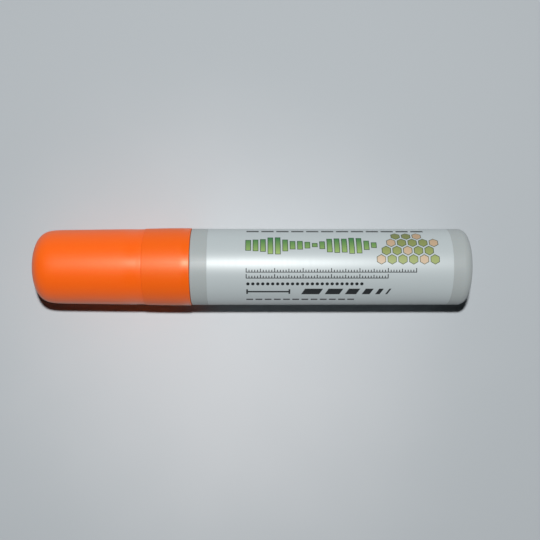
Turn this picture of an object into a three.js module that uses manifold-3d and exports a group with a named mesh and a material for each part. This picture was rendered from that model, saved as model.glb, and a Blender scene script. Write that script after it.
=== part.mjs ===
// Wide-tip pump-action paint marker, lying on its side with the cap on.
// Millimetres, +Z up. The marker's own axis runs along X, the cap at -X and the base at +X.
// The origin is on the surface under the middle of the marker.
import * as THREE from 'three';
import { mergeVertices } from 'three/addons/utils/BufferGeometryUtils.js';
import Module from 'manifold-3d';

// Faceting
const FACETS = 40; // sides of every large round piece, with one flat facing straight down
const SMALL_FACETS = 24; // sides of the small round pieces inside
const ARC_STEPS = 5; // steps of a rounded corner in an outline
const SMALL_ARC_STEPS = 3; // steps of a small rounded corner
const OVERRUN = 1; // how far a cutting solid runs past the wall that it cuts

// Clearances
const SLIDE_GAP = 0.3; // round or beside a piece that slides or is pressed in
const TURN_GAP = 0.2; // behind the web of the collar, which turns on the flange
const SEAM_GAP = 0.3; // the thin dark line between cap and collar
const GROOVE_GAP = 0.35; // the groove between collar and barrel

// Barrel: one moulded tube with a closed base and a threaded neck
const BARREL_LENGTH = 99.9;
const BARREL_RADIUS = 14;
const BARREL_WALL = 1.3;
const SHOULDER_ROUND = 1;
const SHOULDER_WALL = 1.5;
const BASE_ROUND = 3;
const BASE_WALL = 1.6;
const DISH_RADIUS = 7;
const DISH_DEPTH = 0.6;
const DISH_SLOPE = 0.8;
const TANK_ROUND = 2;
const NECK_WALL = 1.45;
const THREAD_SPACE = 1.2; // between the roots of the neck's and the collar's threads
const EDGE_BREAK = 0.4; // small chamfer on moulded edges

// Printed film label round the barrel
const LABEL_START = 5.4; // from the shoulder of the barrel
const LABEL_LENGTH = 87.3;
const LABEL_FILM = 0.16;
const LABEL_GLUE = 0.06;
const LABEL_INSET = 0.03; // how far the film lies below the bare barrel
const LABEL_SEAM = 1;
const LABEL_SEAM_ANGLE = 2.5; // radians round from the top, on the hidden side

// Collar: the screwed ring that holds the head on the neck
const COLLAR_LENGTH = 17;
const COLLAR_PROUD = 0.25; // how far its rim stands out from the barrel
const COLLAR_FLARE = 0.3; // how much its radius grows towards the rim
const COLLAR_WALL = 1.35; // at its front
const COLLAR_WEB = 2.15;
const COLLAR_RIM_ROUND = 0.35;

// Front section: the moulded holder of nib and valve
const SEAT_LENGTH = 14;
const BEAD_HEIGHT = 0.25;
const BEAD_LENGTH = 1.6;
const BEAD_SETBACK = 3; // from the front edge of the seat to the middle of the bead
const LAND_STEP = 1.5; // from the seat in to the land
const LAND_LENGTH = 4;
const NOSE_TAPER = 0.5;
const NOSE_LENGTH = 4;
const FLANGE_STEP = 0.8; // from the flange in to the seat
const FLANGE_GAP = 0.4; // between the flange and the bore of the collar
const FLANGE_THICKNESS = 2;
const SKIRT_LENGTH = 6.8;
const SKIRT_WALL = 1.05;
const SLOT_DEPTH = 10.8;
const CORE_WALL = 1.5; // left between the slot and the two hollows moulded beside it
const CORE_SKIN = 0.85; // left between the hollows and the outside of the nose
const CORE_WIDTH = 8;
const GASKET_THICKNESS = 1;
const GASKET_WIDTH = 1.3;

// Nib and the carrier that presses on the valve
const NIB_MARGIN = 1.1; // from its sides out to the wall of the chamber behind its slot
const NIB_THICKNESS = 7;
const NIB_ROUND = 0.8;
const NIB_REACH = 13; // out of the nose
const NIB_BEVEL = 5.5; // how far the writing edge is cut back across the thickness
const NIB_EDGE = 0.9; // blunt writing edge
const NIB_GAP = 0.15; // each side of the nib in its slot
const CARRIER_SETBACK = 4.8; // from the end of the slot to the carrier's plate
const CARRIER_PLATE = 1.4;
const CLAW_LENGTH = 3.6;
const CLAW_WIDTH = 8;
const CLAW_WALL = 1.2;
const FEED_HOLE_RADIUS = 1.1;
const FEED_HOLE_EDGE = 2.5; // from the side of the nib to the middle of the hole
const SOCKET_WALL = 1.1;

// Valve: seat and spring cage, plunger, seal, spring and retainer
const VALVE_FLANGE = 1.5;
const SPIGOT_LENGTH = 3;
const SPIGOT_WALL = 1.2;
const CAGE_LENGTH = 16;
const CAGE_RADIUS = 6.7;
const CAGE_WALL = 1.2;
const WINDOW_WIDTH = 5;
const WINDOW_MARGIN = 2.4; // ring of the cage left whole at each end
const SEAL_THICKNESS = 1;
const SEAL_STEP = 0.1; // from the edge of the poppet in to the edge of the seal
const POPPET_GAP = 0.5; // between the poppet and the cage
const POPPET_THICKNESS = 1.4;
const STEM_RADIUS = 2.9;
const STEM_RIB = 1.3;
const PIN_RADIUS = 1.9;
const PIN_LENGTH = 1.8;
const TAIL_RADIUS = 2;
const TAIL_PROUD = 0.4; // how far the guide pin stands out of the retainer at rest
const RETAINER_PLATE = 1.5;
const RETAINER_SPIGOT = 1.3;
const SPRING_WIRE = 0.7;
const SPRING_GAP = 0.85; // between the spring and the cage
const SPRING_TURNS = 6.5;
const SPRING_SEAT_GAP = 0.1;
const SPRING_SIDES = 6;
const SPRING_STEPS = 12; // in each turn

// Cap: the outer shell and the sealing cup inside it
const CAP_LENGTH = 40.6;
const CAP_BEAD_GAP = 0.35; // between the bore of the cap and the bead
const CAP_FLARE = 0.32; // how much its radius grows towards the mouth
const CAP_BAND_LENGTH = 12;
const CAP_BAND_STEP = 0.12;
const CAP_BAND_RAMP = 2;
const CAP_CROWN = 36; // radius of the nearly flat end
const CAP_CORNER = 6.5; // radius between the end and the side
const CAP_WALL = 1.5;
const CAP_BOSS_RADIUS = 3;
const CAP_BOSS_LENGTH = 2.2;
const CAP_RIBS = 6;
const CAP_RIB_THICKNESS = 1;
const CAP_RIB_START = 5.2; // from the end of the cap
const CAP_RIB_LENGTH = 21;
const CUP_SEAL_GAP = 0.25; // between the cup and the land
const CUP_WALL = 0.7;
const CUP_END = 0.9;
const CUP_ROUND = 1.2;
const CUP_MOUTH_GAP = 0.4;

// Mixing balls in the tank
const BALL_RADIUS = 4;
const BALL_COUNT = 2;
const BALL_SIDES = 18;
const BALL_RINGS = 12;

// Stations along the axis, from the end of the cap to the base
const OVERALL = CAP_LENGTH + SEAM_GAP + COLLAR_LENGTH + GROOVE_GAP + BARREL_LENGTH;
const CAP_X = -OVERALL / 2;
const CAP_MOUTH_X = CAP_X + CAP_LENGTH;
const COLLAR_X = CAP_MOUTH_X + SEAM_GAP;
const RIM_X = COLLAR_X + COLLAR_LENGTH;
const BARREL_X = RIM_X + GROOVE_GAP;
const BASE_X = BARREL_X + BARREL_LENGTH;
const FLANGE_X = COLLAR_X + COLLAR_WEB + TURN_GAP;
const GASKET_X = FLANGE_X + FLANGE_THICKNESS;
const NECK_X = GASKET_X + GASKET_THICKNESS;
const SEAT_X = FLANGE_X - SEAT_LENGTH;
const LAND_X = SEAT_X - LAND_LENGTH;
const NOSE_X = LAND_X - NOSE_LENGTH;
const SLOT_END_X = NOSE_X + SLOT_DEPTH;
const SKIRT_X = GASKET_X + SKIRT_LENGTH; // rear end of the skirt, where the valve sits
const VALVE_SEAT_X = SKIRT_X + VALVE_FLANGE;
const CAGE_END_X = VALVE_SEAT_X + CAGE_LENGTH;
const POPPET_X = VALVE_SEAT_X + SEAL_THICKNESS;
const CARRIER_X = SLOT_END_X + CARRIER_SETBACK; // front of the plate, where the nib ends
const CARRIER_BACK_X = CARRIER_X + CARRIER_PLATE;
const PIN_X = CARRIER_BACK_X + SLIDE_GAP;
const STEM_X = PIN_X + PIN_LENGTH;
const TANK_END_X = BASE_X - BASE_WALL;
const LABEL_START_X = BARREL_X + LABEL_START;
const LABEL_END_X = LABEL_START_X + LABEL_LENGTH;

// Radii that follow the barrel, in through the collar and the neck to the nib
const COLLAR_RIM_RADIUS = BARREL_RADIUS + COLLAR_PROUD;
const COLLAR_FRONT_RADIUS = COLLAR_RIM_RADIUS - COLLAR_FLARE;
const COLLAR_BORE_RADIUS = COLLAR_FRONT_RADIUS - COLLAR_WALL;
const NECK_RADIUS = COLLAR_BORE_RADIUS - THREAD_SPACE; // at the root of its thread
const NECK_BORE_RADIUS = NECK_RADIUS - NECK_WALL;
const SKIRT_RADIUS = NECK_BORE_RADIUS - SLIDE_GAP;
const CHAMBER_RADIUS = SKIRT_RADIUS - SKIRT_WALL;
const SPIGOT_RADIUS = CHAMBER_RADIUS - SLIDE_GAP;
const NIB_WIDTH = 2 * (CHAMBER_RADIUS - NIB_MARGIN);

// Radii that follow the bore of the collar, in to the nose and out again to the cap
const FLANGE_RADIUS = COLLAR_BORE_RADIUS - FLANGE_GAP;
const SEAT_RADIUS = FLANGE_RADIUS - FLANGE_STEP;
const LAND_RADIUS = SEAT_RADIUS - LAND_STEP;
const NOSE_RADIUS = LAND_RADIUS - NOSE_TAPER;
const CUP_BORE_RADIUS = LAND_RADIUS + CUP_SEAL_GAP;
const CUP_RADIUS = CUP_BORE_RADIUS + CUP_WALL;
const CAP_BORE_RADIUS = SEAT_RADIUS + BEAD_HEIGHT + CAP_BEAD_GAP;
const CAP_SIDE_RADIUS = CAP_BORE_RADIUS + CAP_WALL;
const CAP_MOUTH_RADIUS = CAP_SIDE_RADIUS + CAP_FLARE;

// Radii of the valve and of the tank
const CAGE_BORE_RADIUS = CAGE_RADIUS - CAGE_WALL;
const POPPET_RADIUS = CAGE_BORE_RADIUS - POPPET_GAP;
const SEAL_RADIUS = POPPET_RADIUS - SEAL_STEP;
const SPRING_RADIUS = CAGE_BORE_RADIUS - SPRING_GAP - SPRING_WIRE / 2; // to the middle of the wire
const VALVE_HOLE_RADIUS = STEM_RADIUS + SLIDE_GAP;
const SOCKET_BORE_RADIUS = PIN_RADIUS + SLIDE_GAP;
const SOCKET_RADIUS = SOCKET_BORE_RADIUS + SOCKET_WALL;
const TANK_RADIUS = BARREL_RADIUS - BARREL_WALL;
const LABEL_RADIUS = BARREL_RADIUS - LABEL_INSET;
const PANEL_RADIUS = LABEL_RADIUS - LABEL_FILM - LABEL_GLUE;
const FLAT = Math.cos(Math.PI / FACETS); // a facet's distance from the axis, for radius 1
const AXIS_HEIGHT = COLLAR_RIM_RADIUS * FLAT;

const wasm = await Module();
wasm.setup();

// Points of an arc about (x, r), from one angle to another, in the plane of a turned outline
function arc(x, r, radius, from, to, steps = ARC_STEPS) {
  return Array.from({ length: steps + 1 }, (_, i) => {
    const angle = from + ((to - from) * i) / steps;
    return [x + radius * Math.cos(angle), r + radius * Math.sin(angle)];
  });
}

// Solid turned about the X axis from an outline of [x, radius] points
// The outline runs from axis to axis, or is a ring that closes on its first point
function turned(outline, sides = FACETS) {
  const ring = outline.every(([, radius]) => radius > 0);
  const points = ring ? [...outline, outline[0]] : [...outline];
  const area = points.reduce((sum, [x, r], i) => {
    const [nextX, nextR] = points[(i + 1) % points.length];
    return sum + x * nextR - nextX * r;
  }, 0);
  if (area > 0) points.reverse();
  const profile = points.map(([x, radius]) => new THREE.Vector2(radius, x));
  const lathe = new THREE.LatheGeometry(profile, sides, Math.PI / sides);
  return lathe.rotateZ(-Math.PI / 2);
}

// Straight round pin along X
function pin(fromX, toX, radius, sides = SMALL_FACETS) {
  return turned([[fromX, 0], [fromX, radius], [toX, radius], [toX, 0]], sides);
}

// Block from one corner to the other
function block(x0, x1, y0, y1, z0, z1) {
  const box = new THREE.BoxGeometry(x1 - x0, y1 - y0, z1 - z0);
  return box.translate((x0 + x1) / 2, (y0 + y1) / 2, (z0 + z1) / 2);
}

// Closed geometry as a solid that can be joined and cut
function solid(geometry) {
  const bare = geometry.clone();
  bare.deleteAttribute('normal');
  bare.deleteAttribute('uv');
  const merged = mergeVertices(bare, 1e-5);
  const corners = merged.index.array;
  const kept = [];
  for (let i = 0; i < corners.length; i += 3) {
    const [a, b, c] = corners.subarray(i, i + 3);
    if (a !== b && b !== c && c !== a) kept.push(a, b, c);
  }
  const vertProperties = new Float32Array(merged.attributes.position.array);
  return new wasm.Manifold(new wasm.Mesh({ numProp: 3, vertProperties, triVerts: new Uint32Array(kept) }));
}

// Joined and cut solid as a geometry again
function shaped(body) {
  const { vertProperties, triVerts } = body.getMesh();
  const geometry = new THREE.BufferGeometry();
  geometry.setAttribute('position', new THREE.BufferAttribute(vertProperties, 3));
  geometry.setIndex(new THREE.BufferAttribute(triVerts, 1));
  geometry.computeVertexNormals();
  return geometry;
}

function barrel() {
  const shoulderX = BARREL_X + SHOULDER_ROUND;
  const panelStart = LABEL_START_X - LABEL_GLUE;
  const panelEnd = LABEL_END_X + LABEL_GLUE;
  const tankFront = BARREL_X + SHOULDER_WALL;
  return turned([
    [TANK_END_X, 0],
    [TANK_END_X, TANK_RADIUS - TANK_ROUND],
    [TANK_END_X - TANK_ROUND, TANK_RADIUS],
    [tankFront + TANK_RADIUS - NECK_BORE_RADIUS, TANK_RADIUS],
    [tankFront, NECK_BORE_RADIUS],
    [NECK_X, NECK_BORE_RADIUS],
    [NECK_X, NECK_RADIUS - EDGE_BREAK],
    [NECK_X + EDGE_BREAK, NECK_RADIUS],
    [BARREL_X, NECK_RADIUS],
    ...arc(shoulderX, BARREL_RADIUS - SHOULDER_ROUND, SHOULDER_ROUND, Math.PI, Math.PI / 2),
    [panelStart, BARREL_RADIUS],
    [panelStart, PANEL_RADIUS],
    [panelEnd, PANEL_RADIUS],
    [panelEnd, BARREL_RADIUS],
    ...arc(BASE_X - BASE_ROUND, BARREL_RADIUS - BASE_ROUND, BASE_ROUND, Math.PI / 2, 0),
    [BASE_X, DISH_RADIUS],
    [BASE_X - DISH_DEPTH, DISH_RADIUS - DISH_SLOPE],
    [BASE_X - DISH_DEPTH, 0],
  ]);
}

function label() {
  const start = LABEL_START_X;
  const end = LABEL_END_X;
  const inner = PANEL_RADIUS + LABEL_GLUE;
  const film = solid(turned([[start, inner], [start, LABEL_RADIUS], [end, LABEL_RADIUS], [end, inner]]));
  const half = LABEL_SEAM / 2;
  const slit = block(start - OVERRUN, end + OVERRUN, -half, half, inner / 2, LABEL_RADIUS + OVERRUN);
  return shaped(film.subtract(solid(slit.rotateX(LABEL_SEAM_ANGLE))));
}

function collar() {
  const webBack = COLLAR_X + COLLAR_WEB;
  const opening = SEAT_RADIUS + SLIDE_GAP;
  const rimRound = COLLAR_RIM_ROUND;
  return turned([
    [COLLAR_X, opening],
    [COLLAR_X, COLLAR_FRONT_RADIUS - EDGE_BREAK],
    [COLLAR_X + EDGE_BREAK, COLLAR_FRONT_RADIUS],
    ...arc(RIM_X - rimRound, COLLAR_RIM_RADIUS - rimRound, rimRound, Math.PI / 2, 0, SMALL_ARC_STEPS),
    [RIM_X, COLLAR_BORE_RADIUS + EDGE_BREAK],
    [RIM_X - EDGE_BREAK, COLLAR_BORE_RADIUS],
    [webBack, COLLAR_BORE_RADIUS],
    [webBack, opening],
  ]);
}

function frontSection() {
  const beadX = SEAT_X + BEAD_SETBACK;
  const holder = turned([
    [NOSE_X, 0],
    [NOSE_X, NOSE_RADIUS - EDGE_BREAK],
    [NOSE_X + EDGE_BREAK, NOSE_RADIUS],
    [LAND_X, LAND_RADIUS],
    [SEAT_X, LAND_RADIUS],
    [SEAT_X, SEAT_RADIUS - EDGE_BREAK],
    [SEAT_X + EDGE_BREAK, SEAT_RADIUS],
    [beadX - BEAD_LENGTH / 2, SEAT_RADIUS],
    [beadX, SEAT_RADIUS + BEAD_HEIGHT],
    [beadX + BEAD_LENGTH / 2, SEAT_RADIUS],
    [FLANGE_X, SEAT_RADIUS],
    [FLANGE_X, FLANGE_RADIUS],
    [GASKET_X, FLANGE_RADIUS],
    [GASKET_X, SKIRT_RADIUS],
    [SKIRT_X, SKIRT_RADIUS],
    [SKIRT_X, CHAMBER_RADIUS],
    [SLOT_END_X, CHAMBER_RADIUS],
    [SLOT_END_X, 0],
  ]);
  const slotWidth = NIB_WIDTH + 2 * NIB_GAP;
  const slotHeight = NIB_THICKNESS + 2 * NIB_GAP;
  const slot = roundedBar(NOSE_X - OVERRUN, SLOT_END_X + OVERRUN, slotWidth, slotHeight, NIB_ROUND + NIB_GAP);
  let body = solid(holder).subtract(solid(slot));
  const coreReach = Math.sqrt((NOSE_RADIUS - CORE_SKIN) ** 2 - (CORE_WIDTH / 2) ** 2);
  for (const side of [-1, 1]) {
    const near = side * (slotHeight / 2 + CORE_WALL);
    const far = side * coreReach;
    const core = block(
      NOSE_X + CORE_WALL, SLOT_END_X + OVERRUN,
      -CORE_WIDTH / 2, CORE_WIDTH / 2,
      Math.min(near, far), Math.max(near, far),
    );
    body = body.subtract(solid(core));
  }
  return shaped(body);
}

function headGasket() {
  const inner = NECK_BORE_RADIUS;
  const outer = inner + GASKET_WIDTH;
  return turned([[GASKET_X, inner], [GASKET_X, outer], [NECK_X, outer], [NECK_X, inner]]);
}

// Bar of rounded rectangular section along X
function roundedBar(fromX, toX, width, thickness, round) {
  const halfWidth = width / 2;
  const halfThickness = thickness / 2;
  const section = new THREE.Shape();
  section.moveTo(halfWidth, halfThickness - round);
  section.absarc(halfWidth - round, halfThickness - round, round, 0, Math.PI / 2);
  section.absarc(round - halfWidth, halfThickness - round, round, Math.PI / 2, Math.PI);
  section.absarc(round - halfWidth, round - halfThickness, round, Math.PI, 1.5 * Math.PI);
  section.absarc(halfWidth - round, round - halfThickness, round, 1.5 * Math.PI, 2 * Math.PI);
  const depth = toX - fromX;
  const bar = new THREE.ExtrudeGeometry(section, {
    depth,
    bevelEnabled: false,
    curveSegments: SMALL_ARC_STEPS,
  });
  return bar.rotateX(Math.PI / 2).rotateZ(Math.PI / 2).translate(fromX, 0, 0);
}

// Felt block whose writing end is cut back across its thickness to a blunt edge at the top
function nib() {
  const tipX = NOSE_X - NIB_REACH;
  const half = NIB_THICKNESS / 2;
  const bar = roundedBar(tipX, CARRIER_X, NIB_WIDTH, NIB_THICKNESS, NIB_ROUND);
  const slope = NIB_BEVEL / (NIB_THICKNESS - NIB_EDGE);
  const wedge = new THREE.Shape();
  wedge.moveTo(tipX, half - NIB_EDGE);
  wedge.lineTo(tipX + NIB_BEVEL + OVERRUN * slope, -half - OVERRUN);
  wedge.lineTo(tipX - OVERRUN, -half - OVERRUN);
  wedge.lineTo(tipX - OVERRUN, half - NIB_EDGE);
  const depth = NIB_WIDTH + 2 * OVERRUN;
  const cutter = new THREE.ExtrudeGeometry(wedge, { depth, bevelEnabled: false });
  cutter.rotateX(Math.PI / 2).translate(0, depth / 2, 0);
  return shaped(solid(bar).subtract(solid(cutter)));
}

// Plate behind the nib, with two claws that grip it and a socket for the plunger
function nibCarrier() {
  const gripInner = NIB_THICKNESS / 2 + NIB_GAP;
  const gripOuter = gripInner + CLAW_WALL;
  const halfWidth = NIB_WIDTH / 2;
  const round = pin(CARRIER_X - CLAW_LENGTH, CARRIER_BACK_X, SPIGOT_RADIUS, FACETS);
  const plate = block(CARRIER_X, CARRIER_BACK_X, -halfWidth, halfWidth, -gripOuter, gripOuter);
  let body = solid(round).intersect(solid(plate));
  for (const side of [-1, 1]) {
    const low = Math.min(side * gripInner, side * gripOuter);
    const high = Math.max(side * gripInner, side * gripOuter);
    const claw = block(CARRIER_X - CLAW_LENGTH, CARRIER_BACK_X, -CLAW_WIDTH / 2, CLAW_WIDTH / 2, low, high);
    body = body.add(solid(claw));
    const hole = pin(CARRIER_X - OVERRUN, CARRIER_BACK_X + OVERRUN, FEED_HOLE_RADIUS, SMALL_FACETS / 2);
    body = body.subtract(solid(hole.translate(0, side * (halfWidth - FEED_HOLE_EDGE), 0)));
  }
  const socketEnd = STEM_X - SLIDE_GAP;
  body = body.add(solid(pin(CARRIER_X, socketEnd, SOCKET_RADIUS)));
  return shaped(body.subtract(solid(pin(CARRIER_BACK_X, socketEnd + OVERRUN, SOCKET_BORE_RADIUS))));
}

// Cruciform stem, poppet and guide pin in one moulding
function valvePlunger() {
  const poppetBack = POPPET_X + POPPET_THICKNESS;
  const tailEnd = CAGE_END_X + RETAINER_PLATE + TAIL_PROUD;
  const overlap = POPPET_THICKNESS / 2;
  const reach = Math.sqrt(STEM_RADIUS ** 2 - (STEM_RIB / 2) ** 2);
  const body = solid(turned([
    [PIN_X, 0],
    [PIN_X, PIN_RADIUS - EDGE_BREAK],
    [PIN_X + EDGE_BREAK, PIN_RADIUS],
    [STEM_X, PIN_RADIUS],
    [POPPET_X, PIN_RADIUS],
    [POPPET_X, POPPET_RADIUS],
    [poppetBack, POPPET_RADIUS],
    [poppetBack, TAIL_RADIUS],
    [tailEnd - EDGE_BREAK, TAIL_RADIUS],
    [tailEnd, TAIL_RADIUS - EDGE_BREAK],
    [tailEnd, 0],
  ], SMALL_FACETS));
  const upright = block(STEM_X, POPPET_X + overlap, -STEM_RIB / 2, STEM_RIB / 2, -reach, reach);
  const level = block(STEM_X, POPPET_X + overlap, -reach, reach, -STEM_RIB / 2, STEM_RIB / 2);
  return shaped(body.add(solid(upright)).add(solid(level)));
}

function valveSeal() {
  const inner = STEM_RADIUS + SLIDE_GAP / 2;
  return turned([
    [VALVE_SEAT_X, inner],
    [VALVE_SEAT_X, SEAL_RADIUS],
    [POPPET_X, SEAL_RADIUS],
    [POPPET_X, inner],
  ], SMALL_FACETS);
}

// Valve seat with its locating spigot in front and its windowed spring cage behind
function valveBody() {
  const body = solid(turned([
    [SKIRT_X - SPIGOT_LENGTH, SPIGOT_RADIUS - SPIGOT_WALL],
    [SKIRT_X - SPIGOT_LENGTH, SPIGOT_RADIUS],
    [SKIRT_X, SPIGOT_RADIUS],
    [SKIRT_X, SKIRT_RADIUS],
    [VALVE_SEAT_X, SKIRT_RADIUS],
    [VALVE_SEAT_X, CAGE_RADIUS],
    [CAGE_END_X, CAGE_RADIUS],
    [CAGE_END_X, CAGE_BORE_RADIUS],
    [VALVE_SEAT_X, CAGE_BORE_RADIUS],
    [VALVE_SEAT_X, VALVE_HOLE_RADIUS],
    [SKIRT_X, VALVE_HOLE_RADIUS],
    [SKIRT_X, SPIGOT_RADIUS - SPIGOT_WALL],
  ]));
  const start = VALVE_SEAT_X + WINDOW_MARGIN;
  const end = CAGE_END_X - WINDOW_MARGIN;
  const half = WINDOW_WIDTH / 2;
  const reach = CAGE_RADIUS + OVERRUN;
  const upright = block(start, end, -half, half, -reach, reach);
  const level = block(start, end, -reach, reach, -half, half);
  return shaped(body.subtract(solid(upright)).subtract(solid(level)));
}

function springRetainer() {
  const hole = TAIL_RADIUS + SLIDE_GAP;
  const spigot = CAGE_BORE_RADIUS - SLIDE_GAP;
  return turned([
    [CAGE_END_X - RETAINER_SPIGOT, hole],
    [CAGE_END_X - RETAINER_SPIGOT, spigot],
    [CAGE_END_X, spigot],
    [CAGE_END_X, CAGE_RADIUS],
    [CAGE_END_X + RETAINER_PLATE, CAGE_RADIUS],
    [CAGE_END_X + RETAINER_PLATE, hole],
  ]);
}

// Centre line of the wire of the return spring
class SpringLine extends THREE.Curve {
  constructor(start, end) {
    super();
    this.start = start;
    this.end = end;
  }

  getPoint(t, target = new THREE.Vector3()) {
    const angle = 2 * Math.PI * SPRING_TURNS * t;
    const x = this.start + (this.end - this.start) * t;
    return target.set(x, SPRING_RADIUS * Math.sin(angle), SPRING_RADIUS * Math.cos(angle));
  }
}

// Least clear distance between neighbouring turns of the wire, measured on points
function leastSpringGap(line) {
  const perTurn = 48;
  const points = line.getPoints(Math.round(SPRING_TURNS * perTurn));
  let least = Infinity;
  points.forEach((point, i) => {
    for (let j = i + perTurn / 2; j < points.length; j += 1) {
      least = Math.min(least, point.distanceTo(points[j]) - SPRING_WIRE);
    }
  });
  return least;
}

function valveSpring() {
  const setback = SPRING_WIRE / 2 + SPRING_SEAT_GAP;
  const start = POPPET_X + POPPET_THICKNESS + setback;
  const line = new SpringLine(start, CAGE_END_X - RETAINER_SPIGOT - setback);
  console.log(`valve_spring least gap to itself: ${leastSpringGap(line).toFixed(2)} mm`);
  const section = new THREE.Shape();
  for (let i = 0; i < SPRING_SIDES; i += 1) {
    const angle = (2 * Math.PI * i) / SPRING_SIDES;
    const point = [(SPRING_WIRE / 2) * Math.cos(angle), (SPRING_WIRE / 2) * Math.sin(angle)];
    if (i === 0) section.moveTo(...point);
    else section.lineTo(...point);
  }
  const steps = Math.round(SPRING_TURNS * SPRING_STEPS);
  return new THREE.ExtrudeGeometry(section, { steps, extrudePath: line, bevelEnabled: false });
}

// Outline of the domed end of the cap, moved in from its outer face by the given depth
function capEnd(depth) {
  const cornerR = CAP_SIDE_RADIUS - CAP_CORNER;
  const crownX = CAP_X + CAP_CROWN;
  const cornerX = crownX - Math.sqrt((CAP_CROWN - CAP_CORNER) ** 2 - cornerR ** 2);
  const turn = Math.atan2(cornerR, crownX - cornerX);
  return [
    ...arc(crownX, 0, CAP_CROWN - depth, Math.PI, Math.PI - turn),
    ...arc(cornerX, cornerR, CAP_CORNER - depth, Math.PI - turn, Math.PI / 2).slice(1),
  ];
}

function capShell() {
  const bandX = CAP_MOUTH_X - CAP_BAND_LENGTH;
  const bandRadius = CAP_MOUTH_RADIUS - CAP_BAND_STEP / 2;
  const innerEnd = capEnd(CAP_WALL).filter(([, radius]) => radius > CAP_BOSS_RADIUS);
  const bossX = CAP_X + CAP_WALL + CAP_BOSS_LENGTH;
  const shell = turned([
    ...capEnd(0),
    [bandX - CAP_BAND_RAMP, bandRadius - CAP_BAND_STEP],
    [bandX, bandRadius],
    [CAP_MOUTH_X - EDGE_BREAK, CAP_MOUTH_RADIUS],
    [CAP_MOUTH_X, CAP_MOUTH_RADIUS - EDGE_BREAK],
    [CAP_MOUTH_X, CAP_BORE_RADIUS + EDGE_BREAK],
    [CAP_MOUTH_X - EDGE_BREAK, CAP_BORE_RADIUS],
    ...innerEnd.reverse(),
    [CAP_X + CAP_WALL, CAP_BOSS_RADIUS],
    [bossX, CAP_BOSS_RADIUS],
    [bossX, 0],
  ]);
  let body = solid(shell);
  const ribStart = CAP_X + CAP_RIB_START;
  const ribTop = CAP_BORE_RADIUS + CAP_WALL / 3;
  for (let i = 0; i < CAP_RIBS; i += 1) {
    const half = CAP_RIB_THICKNESS / 2;
    const rib = block(ribStart, ribStart + CAP_RIB_LENGTH, -half, half, CUP_RADIUS + SLIDE_GAP, ribTop);
    body = body.add(solid(rib.rotateX((2 * Math.PI * (i + 0.5)) / CAP_RIBS)));
  }
  return shaped(body);
}

// Soft cup that seals on the land of the front section
function innerCap() {
  const endX = CAP_X + CAP_WALL + CAP_BOSS_LENGTH + SLIDE_GAP;
  const mouthX = SEAT_X - CUP_MOUTH_GAP;
  const innerEndX = endX + CUP_END;
  const innerRound = CUP_ROUND / 2;
  return turned([
    [endX, 0],
    ...arc(endX + CUP_ROUND, CUP_RADIUS - CUP_ROUND, CUP_ROUND, Math.PI, Math.PI / 2, SMALL_ARC_STEPS),
    [mouthX, CUP_RADIUS],
    [mouthX, CUP_BORE_RADIUS],
    [innerEndX + innerRound, CUP_BORE_RADIUS],
    [innerEndX, CUP_BORE_RADIUS - innerRound],
    [innerEndX, 0],
  ]);
}

// Ball number i, counted from the base, on the lowest line of the tank
function mixingBall(i) {
  const ball = new THREE.SphereGeometry(BALL_RADIUS, BALL_SIDES, BALL_RINGS);
  const pitch = 2 * BALL_RADIUS + SLIDE_GAP;
  const x = TANK_END_X - BALL_RADIUS - SLIDE_GAP - i * pitch;
  const drop = TANK_RADIUS * FLAT - BALL_RADIUS - SLIDE_GAP;
  return { ball, place: [x, 0, -drop] };
}

const FINISHES = {
  paintOrange: { color: 0xff6a1e, roughness: 0.35, metalness: 0 },
  barrelGrey: { color: 0xaab2af, roughness: 0.45, metalness: 0 },
  silverFilm: { color: 0xc9cdcd, roughness: 0.3, metalness: 0.7 },
  naturalPlastic: { color: 0xe9e9e2, roughness: 0.45, metalness: 0 },
  clearCup: { color: 0xdfe5e3, roughness: 0.4, metalness: 0 },
  whiteFelt: { color: 0xf3f2ec, roughness: 0.95, metalness: 0 },
  softRubber: { color: 0x2b2b2b, roughness: 0.8, metalness: 0 },
  bareSteel: { color: 0xb9bcbe, roughness: 0.25, metalness: 1 },
};

// Named mesh of one piece in its finish
function piece(name, geometry, finish) {
  const mesh = new THREE.Mesh(geometry, new THREE.MeshStandardMaterial(FINISHES[finish]));
  mesh.name = name;
  return mesh;
}

// Pieces that move together, under the name of what they make
function assembly(name, ...members) {
  const group = new THREE.Group();
  group.name = name;
  group.add(...members);
  return group;
}

function mixingBalls() {
  return Array.from({ length: BALL_COUNT }, (_, i) => {
    const { ball, place } = mixingBall(i);
    const mesh = piece(`mixing_ball_${i + 1}`, ball, 'bareSteel');
    mesh.position.set(...place);
    return mesh;
  });
}

const nibUnit = assembly(
  'nib_unit',
  piece('nib', nib(), 'whiteFelt'),
  piece('nib_carrier', nibCarrier(), 'naturalPlastic'),
  piece('valve_plunger', valvePlunger(), 'naturalPlastic'),
  piece('valve_seal', valveSeal(), 'softRubber'),
);

const capUnit = assembly(
  'cap_unit',
  piece('cap_shell', capShell(), 'paintOrange'),
  piece('inner_cap', innerCap(), 'clearCup'),
);

const headUnit = assembly(
  'head_unit',
  piece('front_section', frontSection(), 'naturalPlastic'),
  piece('head_gasket', headGasket(), 'softRubber'),
  piece('valve_body', valveBody(), 'naturalPlastic'),
  piece('spring_retainer', springRetainer(), 'naturalPlastic'),
  piece('valve_spring', valveSpring(), 'bareSteel'),
  piece('collar', collar(), 'paintOrange'),
  nibUnit,
  capUnit,
);

const marker = assembly(
  'paint_marker',
  piece('barrel', barrel(), 'barrelGrey'),
  piece('label', label(), 'silverFilm'),
  ...mixingBalls(),
  headUnit,
);
marker.position.z = AXIS_HEIGHT;

export default marker;
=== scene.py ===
"""Wide-tip paint marker lying on its side with the cap on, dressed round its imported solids.

Sizes are in millimetres about the marker's own axis, which runs along X from the cap to the base.
An angle round the axis starts at the top and turns towards +Y.
"""

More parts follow.
